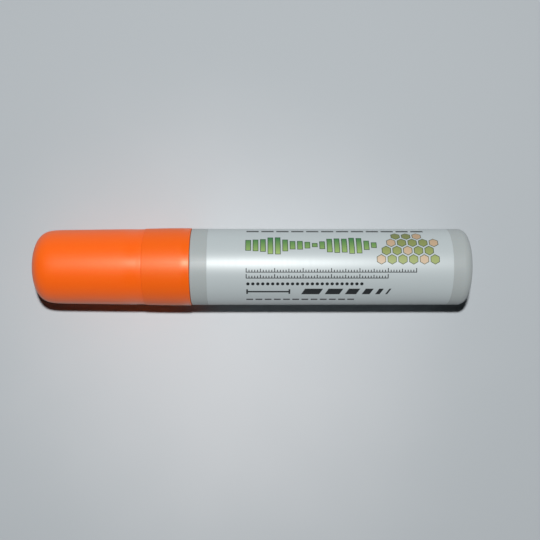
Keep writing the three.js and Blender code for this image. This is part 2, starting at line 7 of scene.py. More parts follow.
import logging
import math
from collections.abc import Callable, Iterable
from dataclasses import dataclass, field
from enum import Enum

import bmesh
import bpy
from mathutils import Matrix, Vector


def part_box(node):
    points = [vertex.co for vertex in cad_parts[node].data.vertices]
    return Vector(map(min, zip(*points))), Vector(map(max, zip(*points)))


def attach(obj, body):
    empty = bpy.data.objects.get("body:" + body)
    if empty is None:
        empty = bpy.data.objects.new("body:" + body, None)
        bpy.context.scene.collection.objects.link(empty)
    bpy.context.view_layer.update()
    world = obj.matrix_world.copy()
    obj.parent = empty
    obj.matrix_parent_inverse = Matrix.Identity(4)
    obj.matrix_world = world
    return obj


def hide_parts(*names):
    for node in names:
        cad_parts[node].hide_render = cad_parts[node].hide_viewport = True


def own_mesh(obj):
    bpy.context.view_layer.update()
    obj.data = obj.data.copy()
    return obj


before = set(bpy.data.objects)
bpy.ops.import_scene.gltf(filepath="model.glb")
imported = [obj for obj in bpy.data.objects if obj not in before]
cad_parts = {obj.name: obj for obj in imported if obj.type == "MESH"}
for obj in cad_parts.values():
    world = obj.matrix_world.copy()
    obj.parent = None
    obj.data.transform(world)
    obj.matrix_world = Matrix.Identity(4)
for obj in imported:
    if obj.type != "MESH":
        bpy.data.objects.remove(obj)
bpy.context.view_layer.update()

Point = tuple[float, float]
Corner = tuple[float, float, float]  # x, distance from the axis and fillet radius
Place = tuple[float, float, float]
Section = Callable[[float], list[Point]]
Shapes = list[list[Point]]
Tree = bpy.types.NodeTree
Socket = bpy.types.NodeSocket
Inputs = dict[str | int, object]

MM = 0.001
SIDES = 144  # round every large piece
SMALL_SIDES = 72  # round the pieces inside
SHARP_ANGLE = math.radians(38)  # edges that turn by more than this stay crisp
WELD = 2e-6  # metres within which points that a cut leaves side by side become one
TINY = 1e-6  # millimetres or radians that count as none

logging.basicConfig(level=logging.INFO, format="%(message)s")
log = logging.getLogger("marker")


def axis_height() -> float:
    """Returns the height of the marker's axis above the surface, in metres."""
    low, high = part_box("barrel")
    return (low.z + high.z) / 2


def span(node: str) -> Point:
    """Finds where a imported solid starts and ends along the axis.

    Args:
        node: name of the solid.

    Returns:
        Its lowest and highest x in millimetres.
    """
    low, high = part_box(node)
    return low.x / MM, high.x / MM


def ring_angles(count: int) -> list[float]:
    """Returns that many angles evenly round a circle, in radians."""
    return [2 * math.pi * i / count for i in range(count)]


def arc(centre: Point, radius: float, start: float, end: float, steps: int = 16) -> list[Point]:
    """Draws an arc in the plane of an outline.

    Args:
        centre: x and distance from the axis.
        radius: of the arc.
        start: first angle in degrees, 0 towards +X and 90 away from the axis.
        end: last angle in degrees.
        steps: straight steps that make the arc.

    Returns:
        The points in order.
    """
    angles = [math.radians(start + (end - start) * i / steps) for i in range(steps + 1)]
    return [(centre[0] + radius * math.cos(a), centre[1] + radius * math.sin(a)) for a in angles]


def filleted(corners: list[Corner], closed: bool = False, steps: int = 5) -> list[Point]:
    """Rounds the corners of an outline and keeps its flat stretches flat in the light.

    Args:
        corners: the corners in order.
        closed: whether the last corner joins the first.
        steps: straight steps in each fillet.

    Returns:
        The outline's points, with one close to each end of every long stretch.
    """
    keep_flat, longest_reach, nearly_straight = 0.2, 0.45, 1.57
    count = len(corners)
    outline: list[Point] = []
    for i, (x, r, fillet) in enumerate(corners):
        corner = Vector((x, r))
        before = Vector(corners[i - 1][:2]) - corner
        after = Vector(corners[(i + 1) % count][:2]) - corner
        if fillet <= 0 or (not closed and i in (0, count - 1)):
            outline.append((x, r))
            continue
        back, on = before.normalized(), after.normalized()
        half = before.angle(after) / 2
        reach = min(fillet / math.tan(half), longest_reach * before.length, longest_reach * after.length)
        radius = reach * math.tan(half)
        first, last = corner + back * reach, corner + on * reach
        middle = corner + (back + on).normalized() * radius / math.sin(half)
        if before.length > 2 * reach + 2 * keep_flat:
            outline.append(tuple(first + back * keep_flat))
        for share in [k / steps for k in range(steps + 1)]:
            spoke = first.lerp(last, share) - middle
            if half < nearly_straight:
                spoke = (first - middle).slerp(last - middle, share)
            outline.append(tuple(middle + spoke.normalized() * radius))
        if after.length > 2 * reach + 2 * keep_flat:
            outline.append(tuple(last + on * keep_flat))
    return outline


class Join(Enum):
    """How one closed form meets another."""

    CUT = "DIFFERENCE"
    UNITE = "UNION"
    SHARE = "INTERSECT"


@dataclass
class Draft:
    """Mesh that is being drawn, in millimetres about the marker's axis."""

    points: list[Vector] = field(default_factory=list)
    faces: list[tuple[int, ...]] = field(default_factory=list)

    def add(self, points: Iterable, faces: Iterable[tuple[int, ...]]) -> "Draft":
        """Adds points and the faces between them.

        Args:
            points: places of the new points.
            faces: corners of each face, counted from the first new point.

        Returns:
            This draft.
        """
        first = len(self.points)
        self.points += [Vector(p) for p in points]
        self.faces += [tuple(first + i for i in f) for f in faces]
        return self

    def turned(
        self, outline: list[Point], sides: int = SIDES, start: float = 0, sweep: float = 2 * math.pi
    ) -> "Draft":
        """Adds a form turned about the axis.

        Args:
            outline: points from axis to axis, or a closed ring clear of the axis.
            sides: flat sides that make the round.
            start: first angle in radians.
            sweep: how far round it goes.

        Returns:
            This draft.
        """
        whole = sweep > 2 * math.pi - TINY
        count = sides if whole else sides + 1
        ring = all(r > TINY for _, r in outline)
        points, rows = [], []
        for x, r in outline:
            pole = r <= TINY
            rows.append([len(points)] * count if pole else list(range(len(points), len(points) + count)))
            for k in range(1 if pole else count):
                angle = start + sweep * k / sides
                points.append((x, r * math.sin(angle), r * math.cos(angle)))
        faces = []
        for i in range(len(rows) if ring else len(rows) - 1):
            a, b = rows[i], rows[(i + 1) % len(rows)]
            for k in range(sides):
                n = (k + 1) % count
                corners = list(dict.fromkeys((a[k], a[n], b[n], b[k])))
                if len(corners) > 2:
                    faces.append(tuple(corners))
        if not whole:
            faces += [tuple(row[0] for row in rows), tuple(row[-1] for row in reversed(rows))]
        return self.add(points, faces)

    def wound(self, section: Section, along: Callable[[float], float], turns: float, steps: int) -> "Draft":
        """Adds a form wound round the axis, such as a thread or a wire.

        Args:
            section: gives the section at a share of the way, as x offset and distance from the axis.
            along: gives the middle of the section in x at a share of the way.
            turns: how often it goes round, right-handed towards -X.
            steps: sections in each turn.

        Returns:
            This draft.
        """
        total = round(turns * steps)
        points, size = [], len(section(0))
        for i in range(total + 1):
            share = i / total
            angle = 2 * math.pi * turns * share
            points += [(along(share) + dx, r * math.sin(angle), r * math.cos(angle)) for dx, r in section(share)]
        faces = [
            (i * size + k, i * size + (k + 1) % size, (i + 1) * size + (k + 1) % size, (i + 1) * size + k)
            for i in range(total)
            for k in range(size)
        ]
        ends = [tuple(range(size)), tuple(reversed(range(total * size, (total + 1) * size)))]
        return self.add(points, faces + ends)

    def drawn_out(self, section: list[Point], start: float, end: float) -> "Draft":
        """Adds a bar along the axis.

        Args:
            section: its corners as y and z.
            start: where it starts in x.
            end: where it ends in x.

        Returns:
            This draft.
        """
        size = len(section)
        points = [(x, y, z) for x in (start, end) for y, z in section]
        faces = [(k, (k + 1) % size, size + (k + 1) % size, size + k) for k in range(size)]
        return self.add(points, [*faces, tuple(range(size)), tuple(reversed(range(size, 2 * size)))])

    def laid_round(self, shape: list[Point], low: float, high: float, step: float = 0.5) -> "Draft":
        """Adds a thin flat slab laid round the axis, such as ink on a label.

        Args:
            shape: convex outline as x and length round from the top, anticlockwise.
            low: distance of its underside from the axis.
            high: distance of its top from the axis.
            step: length round after which it is creased to follow the surface.

        Returns:
            This draft.
        """
        sheet = bmesh.new()
        sheet.faces.new([sheet.verts.new((u, s, 0)) for u, s in shape])
        first, last = min(s for _, s in shape), max(s for _, s in shape)
        for k in range(1, math.ceil((last - first) / step)):
            whole = [*sheet.verts, *sheet.edges, *sheet.faces]
            bmesh.ops.bisect_plane(sheet, geom=whole, plane_co=(0, first + k * step, 0), plane_no=(0, 1, 0))
        sheet.verts.index_update()
        count = len(sheet.verts)
        points = [
            (v.co.x, r * math.sin(v.co.y / high), r * math.cos(v.co.y / high)) for r in (high, low) for v in sheet.verts
        ]
        tops = [tuple(v.index for v in f.verts) for f in sheet.faces]
        unders = [tuple(count + i for i in reversed(face)) for face in tops]
        rims = [tuple(v.index for v in e.verts) for e in sheet.edges if e.is_boundary]
        sheet.free()
        return self.add(points, tops + unders + [(a, b, count + b, count + a) for a, b in rims])

    def moved(self, dx: float = 0, dy: float = 0, dz: float = 0) -> "Draft":
        """Moves the whole draft and returns it."""
        self.points = [p + Vector((dx, dy, dz)) for p in self.points]
        return self

    def swung(self, x_from: int, y_from: int, z_from: int) -> "Draft":
        """Swaps directions, so that a bar along the axis lies across it, and returns the draft."""
        self.points = [Vector((p[x_from], p[y_from], p[z_from])) for p in self.points]
        return self

    def met(self, other: "Draft", how: Join) -> "Draft":
        """Joins or cuts this closed form with another.

        Args:
            other: the closed form that meets it.
            how: whether it cuts, joins or keeps what they share.

        Returns:
            A new draft of the result.
        """
        main, tool = self.mesh_object("main"), other.mesh_object("tool")
        boolean = main.modifiers.new("meet", "BOOLEAN")
        boolean.operation, boolean.solver, boolean.object = how.value, "EXACT", tool
        result = main.evaluated_get(bpy.context.evaluated_depsgraph_get()).to_mesh()
        axis = Vector((0, 0, AXIS_Z))
        made = Draft().add([(v.co - axis) / MM for v in result.vertices], [tuple(p.vertices) for p in result.polygons])
        for thing in (main, tool):
            bpy.data.objects.remove(thing)
        return made

    def mesh_object(self, name: str) -> bpy.types.Object:
        """Turns the draft into an object in metres, with its faces turned outwards.

        Args:
            name: of the object and its mesh.

        Returns:
            The object, linked to the scene.
        """
        mesh = bpy.data.meshes.new(name)
        axis = Vector((0, 0, AXIS_Z))
        mesh.from_pydata([p * MM + axis for p in self.points], [], self.faces)
        shell = bmesh.new()
        shell.from_mesh(mesh)
        bmesh.ops.remove_doubles(shell, verts=shell.verts, dist=WELD)
        bmesh.ops.recalc_face_normals(shell, faces=shell.faces)
        shell.to_mesh(mesh)
        shell.free()
        mesh.polygons.foreach_set("use_smooth", [True] * len(mesh.polygons))
        mesh.set_sharp_from_angle(angle=SHARP_ANGLE)
        return add_object(name, mesh)


def bar_section(width: float, height: float, radius: float, steps: int = 6) -> list[Point]:
    """Draws a rounded rectangle across the axis.

    Args:
        width: across, along y.
        height: along z.
        radius: of its corners.
        steps: straight steps in each corner.

    Returns:
        Its corners as y and z.
    """
    y, z = width / 2 - radius, height / 2 - radius
    quarters = ((y, z, 0), (-y, z, 90), (-y, -z, 180), (y, -z, 270))
    return [p for cy, cz, turn in quarters for p in arc((cy, cz), radius, turn, turn + 90, steps)]


def box_section(width: float, low: float, high: float) -> list[Point]:
    """Returns a plain rectangle across the axis, from one height to another."""
    return [(width / 2, low), (width / 2, high), (-width / 2, high), (-width / 2, low)]


def round_pin(start: float, end: float, radius: float, edge: float = 0) -> Draft:
    """Draws a round pin along the axis, with its edges rounded.

    Args:
        start: where it starts in x.
        end: where it ends in x.
        radius: of the pin.
        edge: fillet radius of its two edges.

    Returns:
        A new draft of it.
    """
    corners = [(start, 0, 0), (start, radius, edge), (end, radius, edge), (end, 0, 0)]
    return Draft().turned(filleted(corners), SMALL_SIDES)


def washer(node: str, bore: float, radius: float, edge: float, sides: int) -> Draft:
    """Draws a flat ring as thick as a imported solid, with its edges rounded.

    Args:
        node: name of the solid.
        bore: its inner radius.
        radius: its outer radius.
        edge: fillet radius of its edges.
        sides: flat sides that make the round.

    Returns:
        A new draft of it.
    """
    front, back = span(node)
    corners = [(front, bore, edge), (front, radius, edge), (back, radius, edge), (back, bore, edge)]
    return Draft().turned(filleted(corners, closed=True), sides)


def add_object(name: str, data: bpy.types.ID) -> bpy.types.Object:
    """Adds an object to the scene.

    Args:
        name: the object's name.
        data: its mesh, lamp or camera.

    Returns:
        The object.
    """
    made = bpy.data.objects.new(name, data)
    bpy.context.scene.collection.objects.link(made)
    return made


def linear(hex_colour: str) -> tuple[float, float, float, float]:
    """Turns an sRGB hex colour into linear light.

    Args:
        hex_colour: such as #ff6a1e.

    Returns:
        Red, green, blue and alpha.
    """
    values = [int(hex_colour[i : i + 2], 16) / 255 for i in (1, 3, 5)]
    return (*[v / 12.92 if v <= 0.04045 else ((v + 0.055) / 1.055) ** 2.4 for v in values], 1.0)


def per_metre(size_mm: float) -> float:
    """Returns the texture scale whose features are that many millimetres across."""
    return 1 / (size_mm * MM)


def empty_tree(owner: bpy.types.ID) -> Tree:
    """Gives a material, lamp or world an empty node tree.

    Args:
        owner: the material, lamp or world.

    Returns:
        The tree.
    """
    owner.use_nodes = True
    owner.node_tree.nodes.clear()
    return owner.node_tree


def add_node(tree: Tree, kind: str, settings: dict | None = None, inputs: Inputs | None = None) -> bpy.types.Node:
    """Adds one node with its settings and links.

    Args:
        tree: the node tree.
        kind: the node's type.
        settings: its properties by name.
        inputs: a value or the socket to link, by the input's name or number.

    Returns:
        The node.
    """
    node = tree.nodes.new(kind)
    for name, value in (settings or {}).items():
        setattr(node, name, value)
    for name, value in (inputs or {}).items():
        if isinstance(value, Socket):
            tree.links.new(value, node.inputs[name])
        else:
            node.inputs[name].default_value = value
    return node


def only_seen(tree: Tree, share: Socket, plain: Socket, shown: Socket) -> Socket:
    """Mixes in a shader that the eye, a mirror or a clear piece sees and that lights nothing.

    Args:
        tree: the node tree.
        share: how much of it is shown.
        plain: the shader under it, which alone meets the light.
        shown: the shader that is seen.

    Returns:
        The mixed shader.
    """
    rays = add_node(tree, "ShaderNodeLightPath").outputs
    seen = rays["Is Camera Ray"]
    for kind in ("Is Glossy Ray", "Is Transmission Ray"):
        seen = add_node(tree, "ShaderNodeMath", {"operation": "MAXIMUM"}, {0: seen, 1: rays[kind]}).outputs[0]
    part = add_node(tree, "ShaderNodeMath", {"operation": "MULTIPLY"}, {0: share, 1: seen}).outputs[0]
    return add_node(tree, "ShaderNodeMixShader", inputs={"Fac": part, 1: plain, 2: shown}).outputs[0]


@dataclass(frozen=True)
class Finish:
    """What a piece is made of and how its surface was made."""

    name: str
    slot: str

    def material(self) -> bpy.types.Material:
        """Returns the material, which is made on the first call."""
        found = bpy.data.materials.get(self.name)
        if found:
            return found
        made = bpy.data.materials.new(self.name)
        tree = empty_tree(made)
        place = add_node(tree, "ShaderNodeTexCoord").outputs["Object"]
        shader = add_node(tree, "ShaderNodeBsdfPrincipled", inputs=self.dress(tree, place)).outputs[0]
        add_node(tree, "ShaderNodeOutputMaterial", inputs={"Surface": self.surface(tree, shader, place)})
        return made

    def dress(self, tree: Tree, place: Socket) -> Inputs:
        """Makes what drives the surface shader.

        Args:
            tree: the material's nodes.
            place: the point on the piece, in metres.

        Returns:
            A value or a socket for each input of the shader that this finish sets.
        """
        raise NotImplementedError

    def surface(self, tree: Tree, shader: Socket, place: Socket) -> Socket:
        """Returns what the material's output shows, which is the shader itself for all but the floor."""
        return shader


@dataclass(frozen=True)
class MouldedPlastic(Finish):
    """Injection-moulded plastic, coloured through.

    The polished or spark-eroded mould gives it an even satin skin. The melt leaves a faint flow in its colour,
    light goes a little way in, and handling leaves fine scuffs that only dull the shine.
    """

    colour: str
    flow_colour: str
    roughness: float
    grain_mm: float = 0.25  # about 0.05 mm in the mould, drawn coarser so that it shows
    grain_depth_mm: float = 0.0015
    flow_mm: float = 14
    glow: float = 0.1
    glow_mm: float = 0.6
    scuff: float = 0.06
    rubbed: tuple[Point, ...] = ()  # middle and half width of each band that hands have rubbed smoother
    rub: float = 0.07
    chalk: float = 0.14  # pigment scatters the light back, so the sides stay bright
    gloss: float = 0.5
    gloss_tint: str = "#ffffff"  # the coloured skin warms the highlight a little

    def dress(self, tree: Tree, place: Socket) -> Inputs:
        """Makes the colour, the skin and the scuffs."""
        flow = add_node(tree, "ShaderNodeTexNoise", inputs={
            "Vector": place, "Scale": per_metre(self.flow_mm), "Detail": 3.0,
        })
        colour = add_node(tree, "ShaderNodeMix", {"data_type": "RGBA"}, {
            "Factor": flow.outputs["Fac"], "A": linear(self.colour), "B": linear(self.flow_colour),
        })
        # Scuffs run along the marker, about 10 mm long and 0.3 mm wide
        stretched = add_node(tree, "ShaderNodeMapping", inputs={"Vector": place, "Scale": (0.03, 1.0, 1.0)})
        scratches = add_node(tree, "ShaderNodeTexNoise", inputs={
            "Vector": stretched.outputs[0], "Scale": per_metre(0.6), "Detail": 4.0,
        })
        dulled = add_node(tree, "ShaderNodeMapRange", inputs={
            "Value": scratches.outputs["Fac"], "From Min": 0.55, "From Max": 0.75,
            "To Min": self.roughness, "To Max": self.roughness + self.scuff,
        })
        roughness = dulled.outputs["Result"]
        for middle, reach in self.rubbed:
            along = add_node(tree, "ShaderNodeSeparateXYZ", inputs={"Vector": place}).outputs["X"]
            away = add_node(tree, "ShaderNodeMath", {"operation": "SUBTRACT"}, {0: along, 1: middle * MM})
            near = add_node(tree, "ShaderNodeMath", {"operation": "ABSOLUTE"}, {0: away.outputs[0]})
            worn = add_node(tree, "ShaderNodeMapRange", {"interpolation_type": "SMOOTHSTEP"}, {
                "Value": near.outputs[0], "From Max": reach * MM, "To Min": self.rub, "To Max": 0.0,
            })
            both = {0: roughness, 1: worn.outputs["Result"]}
            roughness = add_node(tree, "ShaderNodeMath", {"operation": "SUBTRACT"}, both).outputs[0]
        grain = add_node(tree, "ShaderNodeTexNoise", inputs={
            "Vector": place, "Scale": per_metre(self.grain_mm), "Detail": 2.0,
        })
        bump = add_node(tree, "ShaderNodeBump", inputs={
            "Strength": 0.5, "Distance": self.grain_depth_mm * MM, "Height": grain.outputs["Fac"],
        })
        return {
            "Base Color": colour.outputs["Result"],
            "Roughness": roughness,
            "Normal": bump.outputs["Normal"],
            "IOR": 1.49,  # polypropylene and polyethylene
            "Specular IOR Level": self.gloss,
            "Specular Tint": linear(self.gloss_tint),
            "Diffuse Roughness": self.chalk,
            "Subsurface Weight": self.glow,
            "Subsurface Radius": (1.0, 0.5, 0.3),
            "Subsurface Scale": self.glow_mm * MM,
        }


@dataclass(frozen=True)
class MetallisedFilm(Finish):
    """Polyester film with a vapour-coated silver back, under a matt varnish.

    It throws a wide bright streak along the barrel, and the varnish breaks it up with a very fine grain.
    """

    colour: str
    metallic: float
    roughness: float
    gloss_tint: str
    grain_mm: float = 0.3

    def dress(self, tree: Tree, place: Socket) -> Inputs:
        """Makes the silver and its varnish."""
        # The film was pulled tight round the barrel, so its finest creases run round
        pulled = add_node(tree, "ShaderNodeMapping", inputs={"Vector": place, "Scale": (1.0, 0.06, 0.06)})
        creases = add_node(tree, "ShaderNodeTexNoise", inputs={
            "Vector": pulled.outputs[0], "Scale": per_metre(0.9), "Detail": 3.0,
        })
        varnish = add_node(tree, "ShaderNodeMapRange", inputs={
            "Value": creases.outputs["Fac"], "From Min": 0.3, "From Max": 0.7,
            "To Min": self.roughness - 0.006, "To Max": self.roughness + 0.01,
        })
        grain = add_node(tree, "ShaderNodeTexNoise", inputs={
            "Vector": place, "Scale": per_metre(self.grain_mm), "Detail": 2.0,
        })
        bump = add_node(tree, "ShaderNodeBump", inputs={
            "Strength": 0.35, "Distance": 0.001 * MM, "Height": grain.outputs["Fac"],
        })
        return {
            "Base Color": linear(self.colour),
            "Metallic": self.metallic,
            "Specular Tint": linear(self.gloss_tint),
            "Diffuse Roughness": 0.2,  # flat pigment in the varnish
            "Roughness": varnish.outputs["Result"],
            "Normal": bump.outputs["Normal"],
        }


@dataclass(frozen=True)
class ScreenInk(Finish):
    """Ink printed on the film through a screen, from one colour to another up the label."""

    low_colour: str
    high_colour: str
    low_mm: float = 0
    high_mm: float = 12

    def dress(self, tree: Tree, place: Socket) -> Inputs:
        """Makes the blend of the two inks and the screen's slight unevenness."""
        up = add_node(tree, "ShaderNodeSeparateXYZ", inputs={"Vector": place}).outputs["Y"]
        height = add_node(tree, "ShaderNodeMapRange", inputs={
            "Value": up, "From Min": self.low_mm * MM, "From Max": self.high_mm * MM,
        })
        blend = add_node(tree, "ShaderNodeMix", {"data_type": "RGBA"}, {
            "Factor": height.outputs["Result"], "A": linear(self.low_colour), "B": linear(self.high_colour),
        })
        # A screen of 100 threads to the inch lays dots 0.25 mm apart
        screen = add_node(tree, "ShaderNodeTexNoise", inputs={
            "Vector": place, "Scale": per_metre(0.25), "Detail": 1.0,
        })
        uneven = add_node(tree, "ShaderNodeMapRange", inputs={
            "Value": screen.outputs["Fac"], "To Min": 0.34, "To Max": 0.46,
        })
        return {"Base Color": blend.outputs["Result"], "Roughness": uneven.outputs["Result"], "IOR": 1.5}


@dataclass(frozen=True)
class BondedFelt(Finish):
    """White polyester felt, needled and bonded into a block and cut to shape.

    Its fibres run mostly along the nib. They leave a matt, slightly hairy surface with no highlight.
    """

    colour: str
    shade: str

    def dress(self, tree: Tree, place: Socket) -> Inputs:
        """Makes the fibres."""
        # Fibres are about 0.03 mm thick, drawn in tufts of 0.25 mm so that they show
        along = add_node(tree, "ShaderNodeMapping", inputs={"Vector": place, "Scale": (0.25, 1.0, 1.0)})
        fibres = add_node(tree, "ShaderNodeTexNoise", inputs={
            "Vector": along.outputs[0], "Scale": per_metre(0.5), "Detail": 6.0, "Distortion": 1.2,
        })
        parted = add_node(tree, "ShaderNodeMapRange", inputs={
            "Value": fibres.outputs["Fac"], "From Min": 0.36, "From Max": 0.6,
        })
        colour = add_node(tree, "ShaderNodeMix", {"data_type": "RGBA"}, {
            "Factor": parted.outputs["Result"], "A": linear(self.shade), "B": linear(self.colour),
        })
        bump = add_node(tree, "ShaderNodeBump", inputs={
            "Strength": 0.9, "Distance": 0.06 * MM, "Height": fibres.outputs["Fac"],
        })
        return {
            "Base Color": colour.outputs["Result"],
            "Normal": bump.outputs["Normal"],
            "Roughness": 0.95,
            "Sheen Weight": 0.35,
            "Sheen Roughness": 0.5,
        }


@dataclass(frozen=True)
class Rubber(Finish):
    """Compression-moulded nitrile rubber, matt black with a faint talc bloom."""

    colour: str
    bloom: str

    def dress(self, tree: Tree, place: Socket) -> Inputs:
        """Makes the rubber and its bloom."""
        cloud = add_node(tree, "ShaderNodeTexNoise", inputs={
            "Vector": place, "Scale": per_metre(2.5), "Detail": 6.0,
        })
        colour = add_node(tree, "ShaderNodeMix", {"data_type": "RGBA"}, {
            "Factor": cloud.outputs["Fac"], "A": linear(self.colour), "B": linear(self.bloom),
        })
        bump = add_node(tree, "ShaderNodeBump", inputs={
            "Strength": 0.4, "Distance": 0.004 * MM, "Height": cloud.outputs["Fac"],
        })
        return {
            "Base Color": colour.outputs["Result"],
            "Normal": bump.outputs["Normal"],
            "Roughness": 0.72,
            "IOR": 1.52,
        }


@dataclass(frozen=True)
class Steel(Finish):
    """Bare stainless steel, drawn into wire or tumbled into balls, with fine lines from the die."""

    colour: str
    roughness: float

    def dress(self, tree: Tree, place: Socket) -> Inputs:
        """Makes the metal and its drawn lines."""
        lines = add_node(tree, "ShaderNodeTexNoise", inputs={
            "Vector": place, "Scale": per_metre(0.2), "Detail": 3.0,
        })
        polish = add_node(tree, "ShaderNodeMapRange", inputs={
            "Value": lines.outputs["Fac"], "To Min": self.roughness - 0.05, "To Max": self.roughness + 0.08,
        })
        return {"Base Color": linear(self.colour), "Metallic": 1.0, "Roughness": polish.outputs["Result"]}


@dataclass(frozen=True)
class PaintedBoard(Finish):
    """Pale grey board, sprayed matt, that the marker lies on.

    It has a painted pool of light round the marker: its colour is lighter there and darker farther out.
    Far away it shows the backdrop's own tone, so that the horizon stays pale from every side, and that tone lights
    nothing.
    """

    # Painted light: the first colour is the floor inside a painted pool of light round the marker, the second is the
    # painted darker floor farther out.
    colour: str
    beyond_light_pool_colour: str
    # Middle of the painted pool of light, in metres.
    middle: Place = (-0.01, -0.03, 0)
    light_pool_mm: float = 15
    light_pool_edge_mm: float = 135
    light_pool_drift_mm: float = 30  # how far soft noise clouds shift the edge of the painted pool of light
    backdrop_from: float = 0.15  # metres away
    backdrop_to: float = 0.42

    def dress(self, tree: Tree, place: Socket) -> Inputs:
        """Makes the matt paint with a painted pool of light: lighter near the marker, darker farther out."""
        away = add_node(tree, "ShaderNodeVectorMath", {"operation": "DISTANCE"}, {0: place, 1: self.middle})
        cloud = add_node(tree, "ShaderNodeTexNoise", inputs={
            "Vector": place, "Scale": per_metre(60), "Detail": 2.0,
        })
        distance_in_light_pool = add_node(tree, "ShaderNodeMath", {"operation": "MULTIPLY_ADD"}, {
            0: cloud.outputs["Fac"], 1: self.light_pool_drift_mm * MM, 2: away.outputs["Value"],
        })
        # Painted light: the floor's colour fades from the lit colour near the marker to the darker colour farther out,
        # a painted pool of light.
        fade = add_node(tree, "ShaderNodeMapRange", {"interpolation_type": "SMOOTHSTEP"}, {
            "Value": distance_in_light_pool.outputs[0], "From Min": self.light_pool_mm * MM, "From Max": self.light_pool_edge_mm * MM,
        })
        colour = add_node(tree, "ShaderNodeMix", {"data_type": "RGBA"}, {
            "Factor": fade.outputs["Result"], "A": linear(self.colour), "B": linear(self.beyond_light_pool_colour),
        })
        return {"Base Color": colour.outputs["Result"], "Roughness": 0.85, "Specular IOR Level": 0.2}

    def surface(self, tree: Tree, shader: Socket, place: Socket) -> Socket:
        """Returns the paint, which gives way to the backdrop's tone far from the marker."""
        away = add_node(tree, "ShaderNodeVectorMath", {"operation": "LENGTH"}, {0: place}).outputs["Value"]
        far = add_node(tree, "ShaderNodeMapRange", inputs={
            "Value": away, "From Min": self.backdrop_from, "From Max": self.backdrop_to,
        })
        tone = add_node(tree, "ShaderNodeEmission", inputs={"Color": linear(BACKDROP)})
        return only_seen(tree, far.outputs["Result"], shader, tone.outputs[0])


BACKDROP = "#a8aeb2"
ORANGE_PP = MouldedPlastic(
    "moulded_orange_polypropylene", "paint_colour_plastic", "#ff6606", "#ff690a", 0.43, glow=0.12,
    rubbed=((-42.0, 4.8),), rub=0.085, gloss=0.74, gloss_tint="#ffffe1",
)
MATT_ORANGE_PP = MouldedPlastic(
    "moulded_matt_orange_polypropylene", "paint_colour_plastic", "#f76408", "#f5670c", 0.46, glow=0.12,
    rubbed=((-22.9, 2.6),), rub=0.105, gloss=0.54, gloss_tint="#ffffe1",
)
GREY_PP = MouldedPlastic(
    "moulded_grey_polypropylene", "barrel_plastic", "#a7aeae", "#aab1b1", 0.46, glow=0.05, chalk=0.25
)
NATURAL_PP = MouldedPlastic(
    "moulded_natural_polypropylene", "natural_plastic", "#e6e6de", "#deded4", 0.44, glow=0.3, glow_mm=1.2
)
SOFT_PE = MouldedPlastic(
    "moulded_natural_polyethylene", "soft_cup_plastic", "#dfe3e0", "#d6dbd8", 0.5, glow=0.4, glow_mm=1.5
)
SILVER_FILM = MetallisedFilm("metallised_silver_film", "label_film", "#bec7c9", 0.1, 0.45, "#fff7f1")
GREEN_INK = ScreenInk("screen_ink_green", "label_film", "#a9c272", "#2c7443", 3.0, 10.5)
OLIVE_INK = ScreenInk("screen_ink_olive", "label_film", "#9aa766", "#7d8450", 3.0, 11.0)
BEIGE_INK = ScreenInk("screen_ink_beige", "label_film", "#c9b296", "#bda183", 3.0, 11.0)
BLACK_INK = ScreenInk("screen_ink_black", "label_film", "#1a1d1f", "#24292b", -14.0, 12.0)
KEY_INK = ScreenInk("screen_ink_dark_green", "label_film", "#3c4a2c", "#1f3f2a", 3.0, 11.0)
WHITE_FELT = BondedFelt("bonded_white_felt", "felt", "#f6f4ee", "#d8d3c8")
NITRILE = Rubber("moulded_nitrile_rubber", "seal_rubber", "#1c1c1d", "#343536")
SPRING_STEEL = Steel("drawn_stainless_steel", "steel", "#b9bcbe", 0.26)
# The floor's two colours are a painted pool of light near the marker and the painted darker floor farther out.
FLOOR_BOARD = PaintedBoard("matt_painted_board", "", "#cacdd0", "#b0b6ba")

AXIS_Z = axis_height()


def put(draft: Draft, name: str, body: str, finish: Finish, *nodes: str, soft_edge: float = 0) -> bpy.types.Object:
    """Makes a piece of the marker from its draft.

    Args:
        draft: its form.
        name: the piece's name.
        body: the moving body that it rides on.
        finish: what it is made of.
        nodes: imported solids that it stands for.
        soft_edge: how far its sharp edges are eased, in millimetres.

    Returns:
        The piece.
    """
    made = draft.mesh_object(name)
    made.data.materials.append(finish.material())
    if soft_edge:
        bevel = made.modifiers.new("eased_edges", "BEVEL")
        bevel.width, bevel.segments = soft_edge * MM, 2
        bevel.limit_method, bevel.angle_limit = "ANGLE", SHARP_ANGLE
    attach(made, body)
    if nodes:
        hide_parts(*nodes)
    log.info("%s: %d faces, %s, rides on %s", name, len(made.data.polygons), finish.name, body)
    return made


@dataclass
class ScrewThread:
    """Moulded thread of 3 mm pitch that holds the collar on the neck."""

    root: float
    crest: float
    start: float
    pitch: float = 3
    turns: float = 2.2
    base_width: float = 1.7
    crest_width: float = 0.8
    fade: float = 0.12  # turn over which it rises at each end
    least_rise: float = 0.05  # share of its height that it starts with
    sink: float = 0.1  # how far its foot goes into the wall

    def section(self, share: float) -> list[Point]:
        """Draws the ridge's section.

        Args:
            share: how far along the thread it lies, from 0 to 1.

        Returns:
            Its corners as x offset and distance from the axis.
        """
        rise = min(1, share * self.turns / self.fade, (1 - share) * self.turns / self.fade)
        crest = self.root + (self.crest - self.root) * max(rise, self.least_rise)
        foot = self.root - math.copysign(self.sink, self.crest - self.root)
        half, top = self.base_width / 2, self.crest_width / 2
        return [(-half, foot), (-half, self.root), (-top, crest), (top, crest), (half, self.root), (half, foot)]

    def cut_on(self, draft: Draft) -> Draft:
        """Adds the thread to a neck or a bore and returns the draft."""
        length = self.pitch * self.turns
        return draft.wound(self.section, lambda share: self.start - length * share, self.turns, SMALL_SIDES)


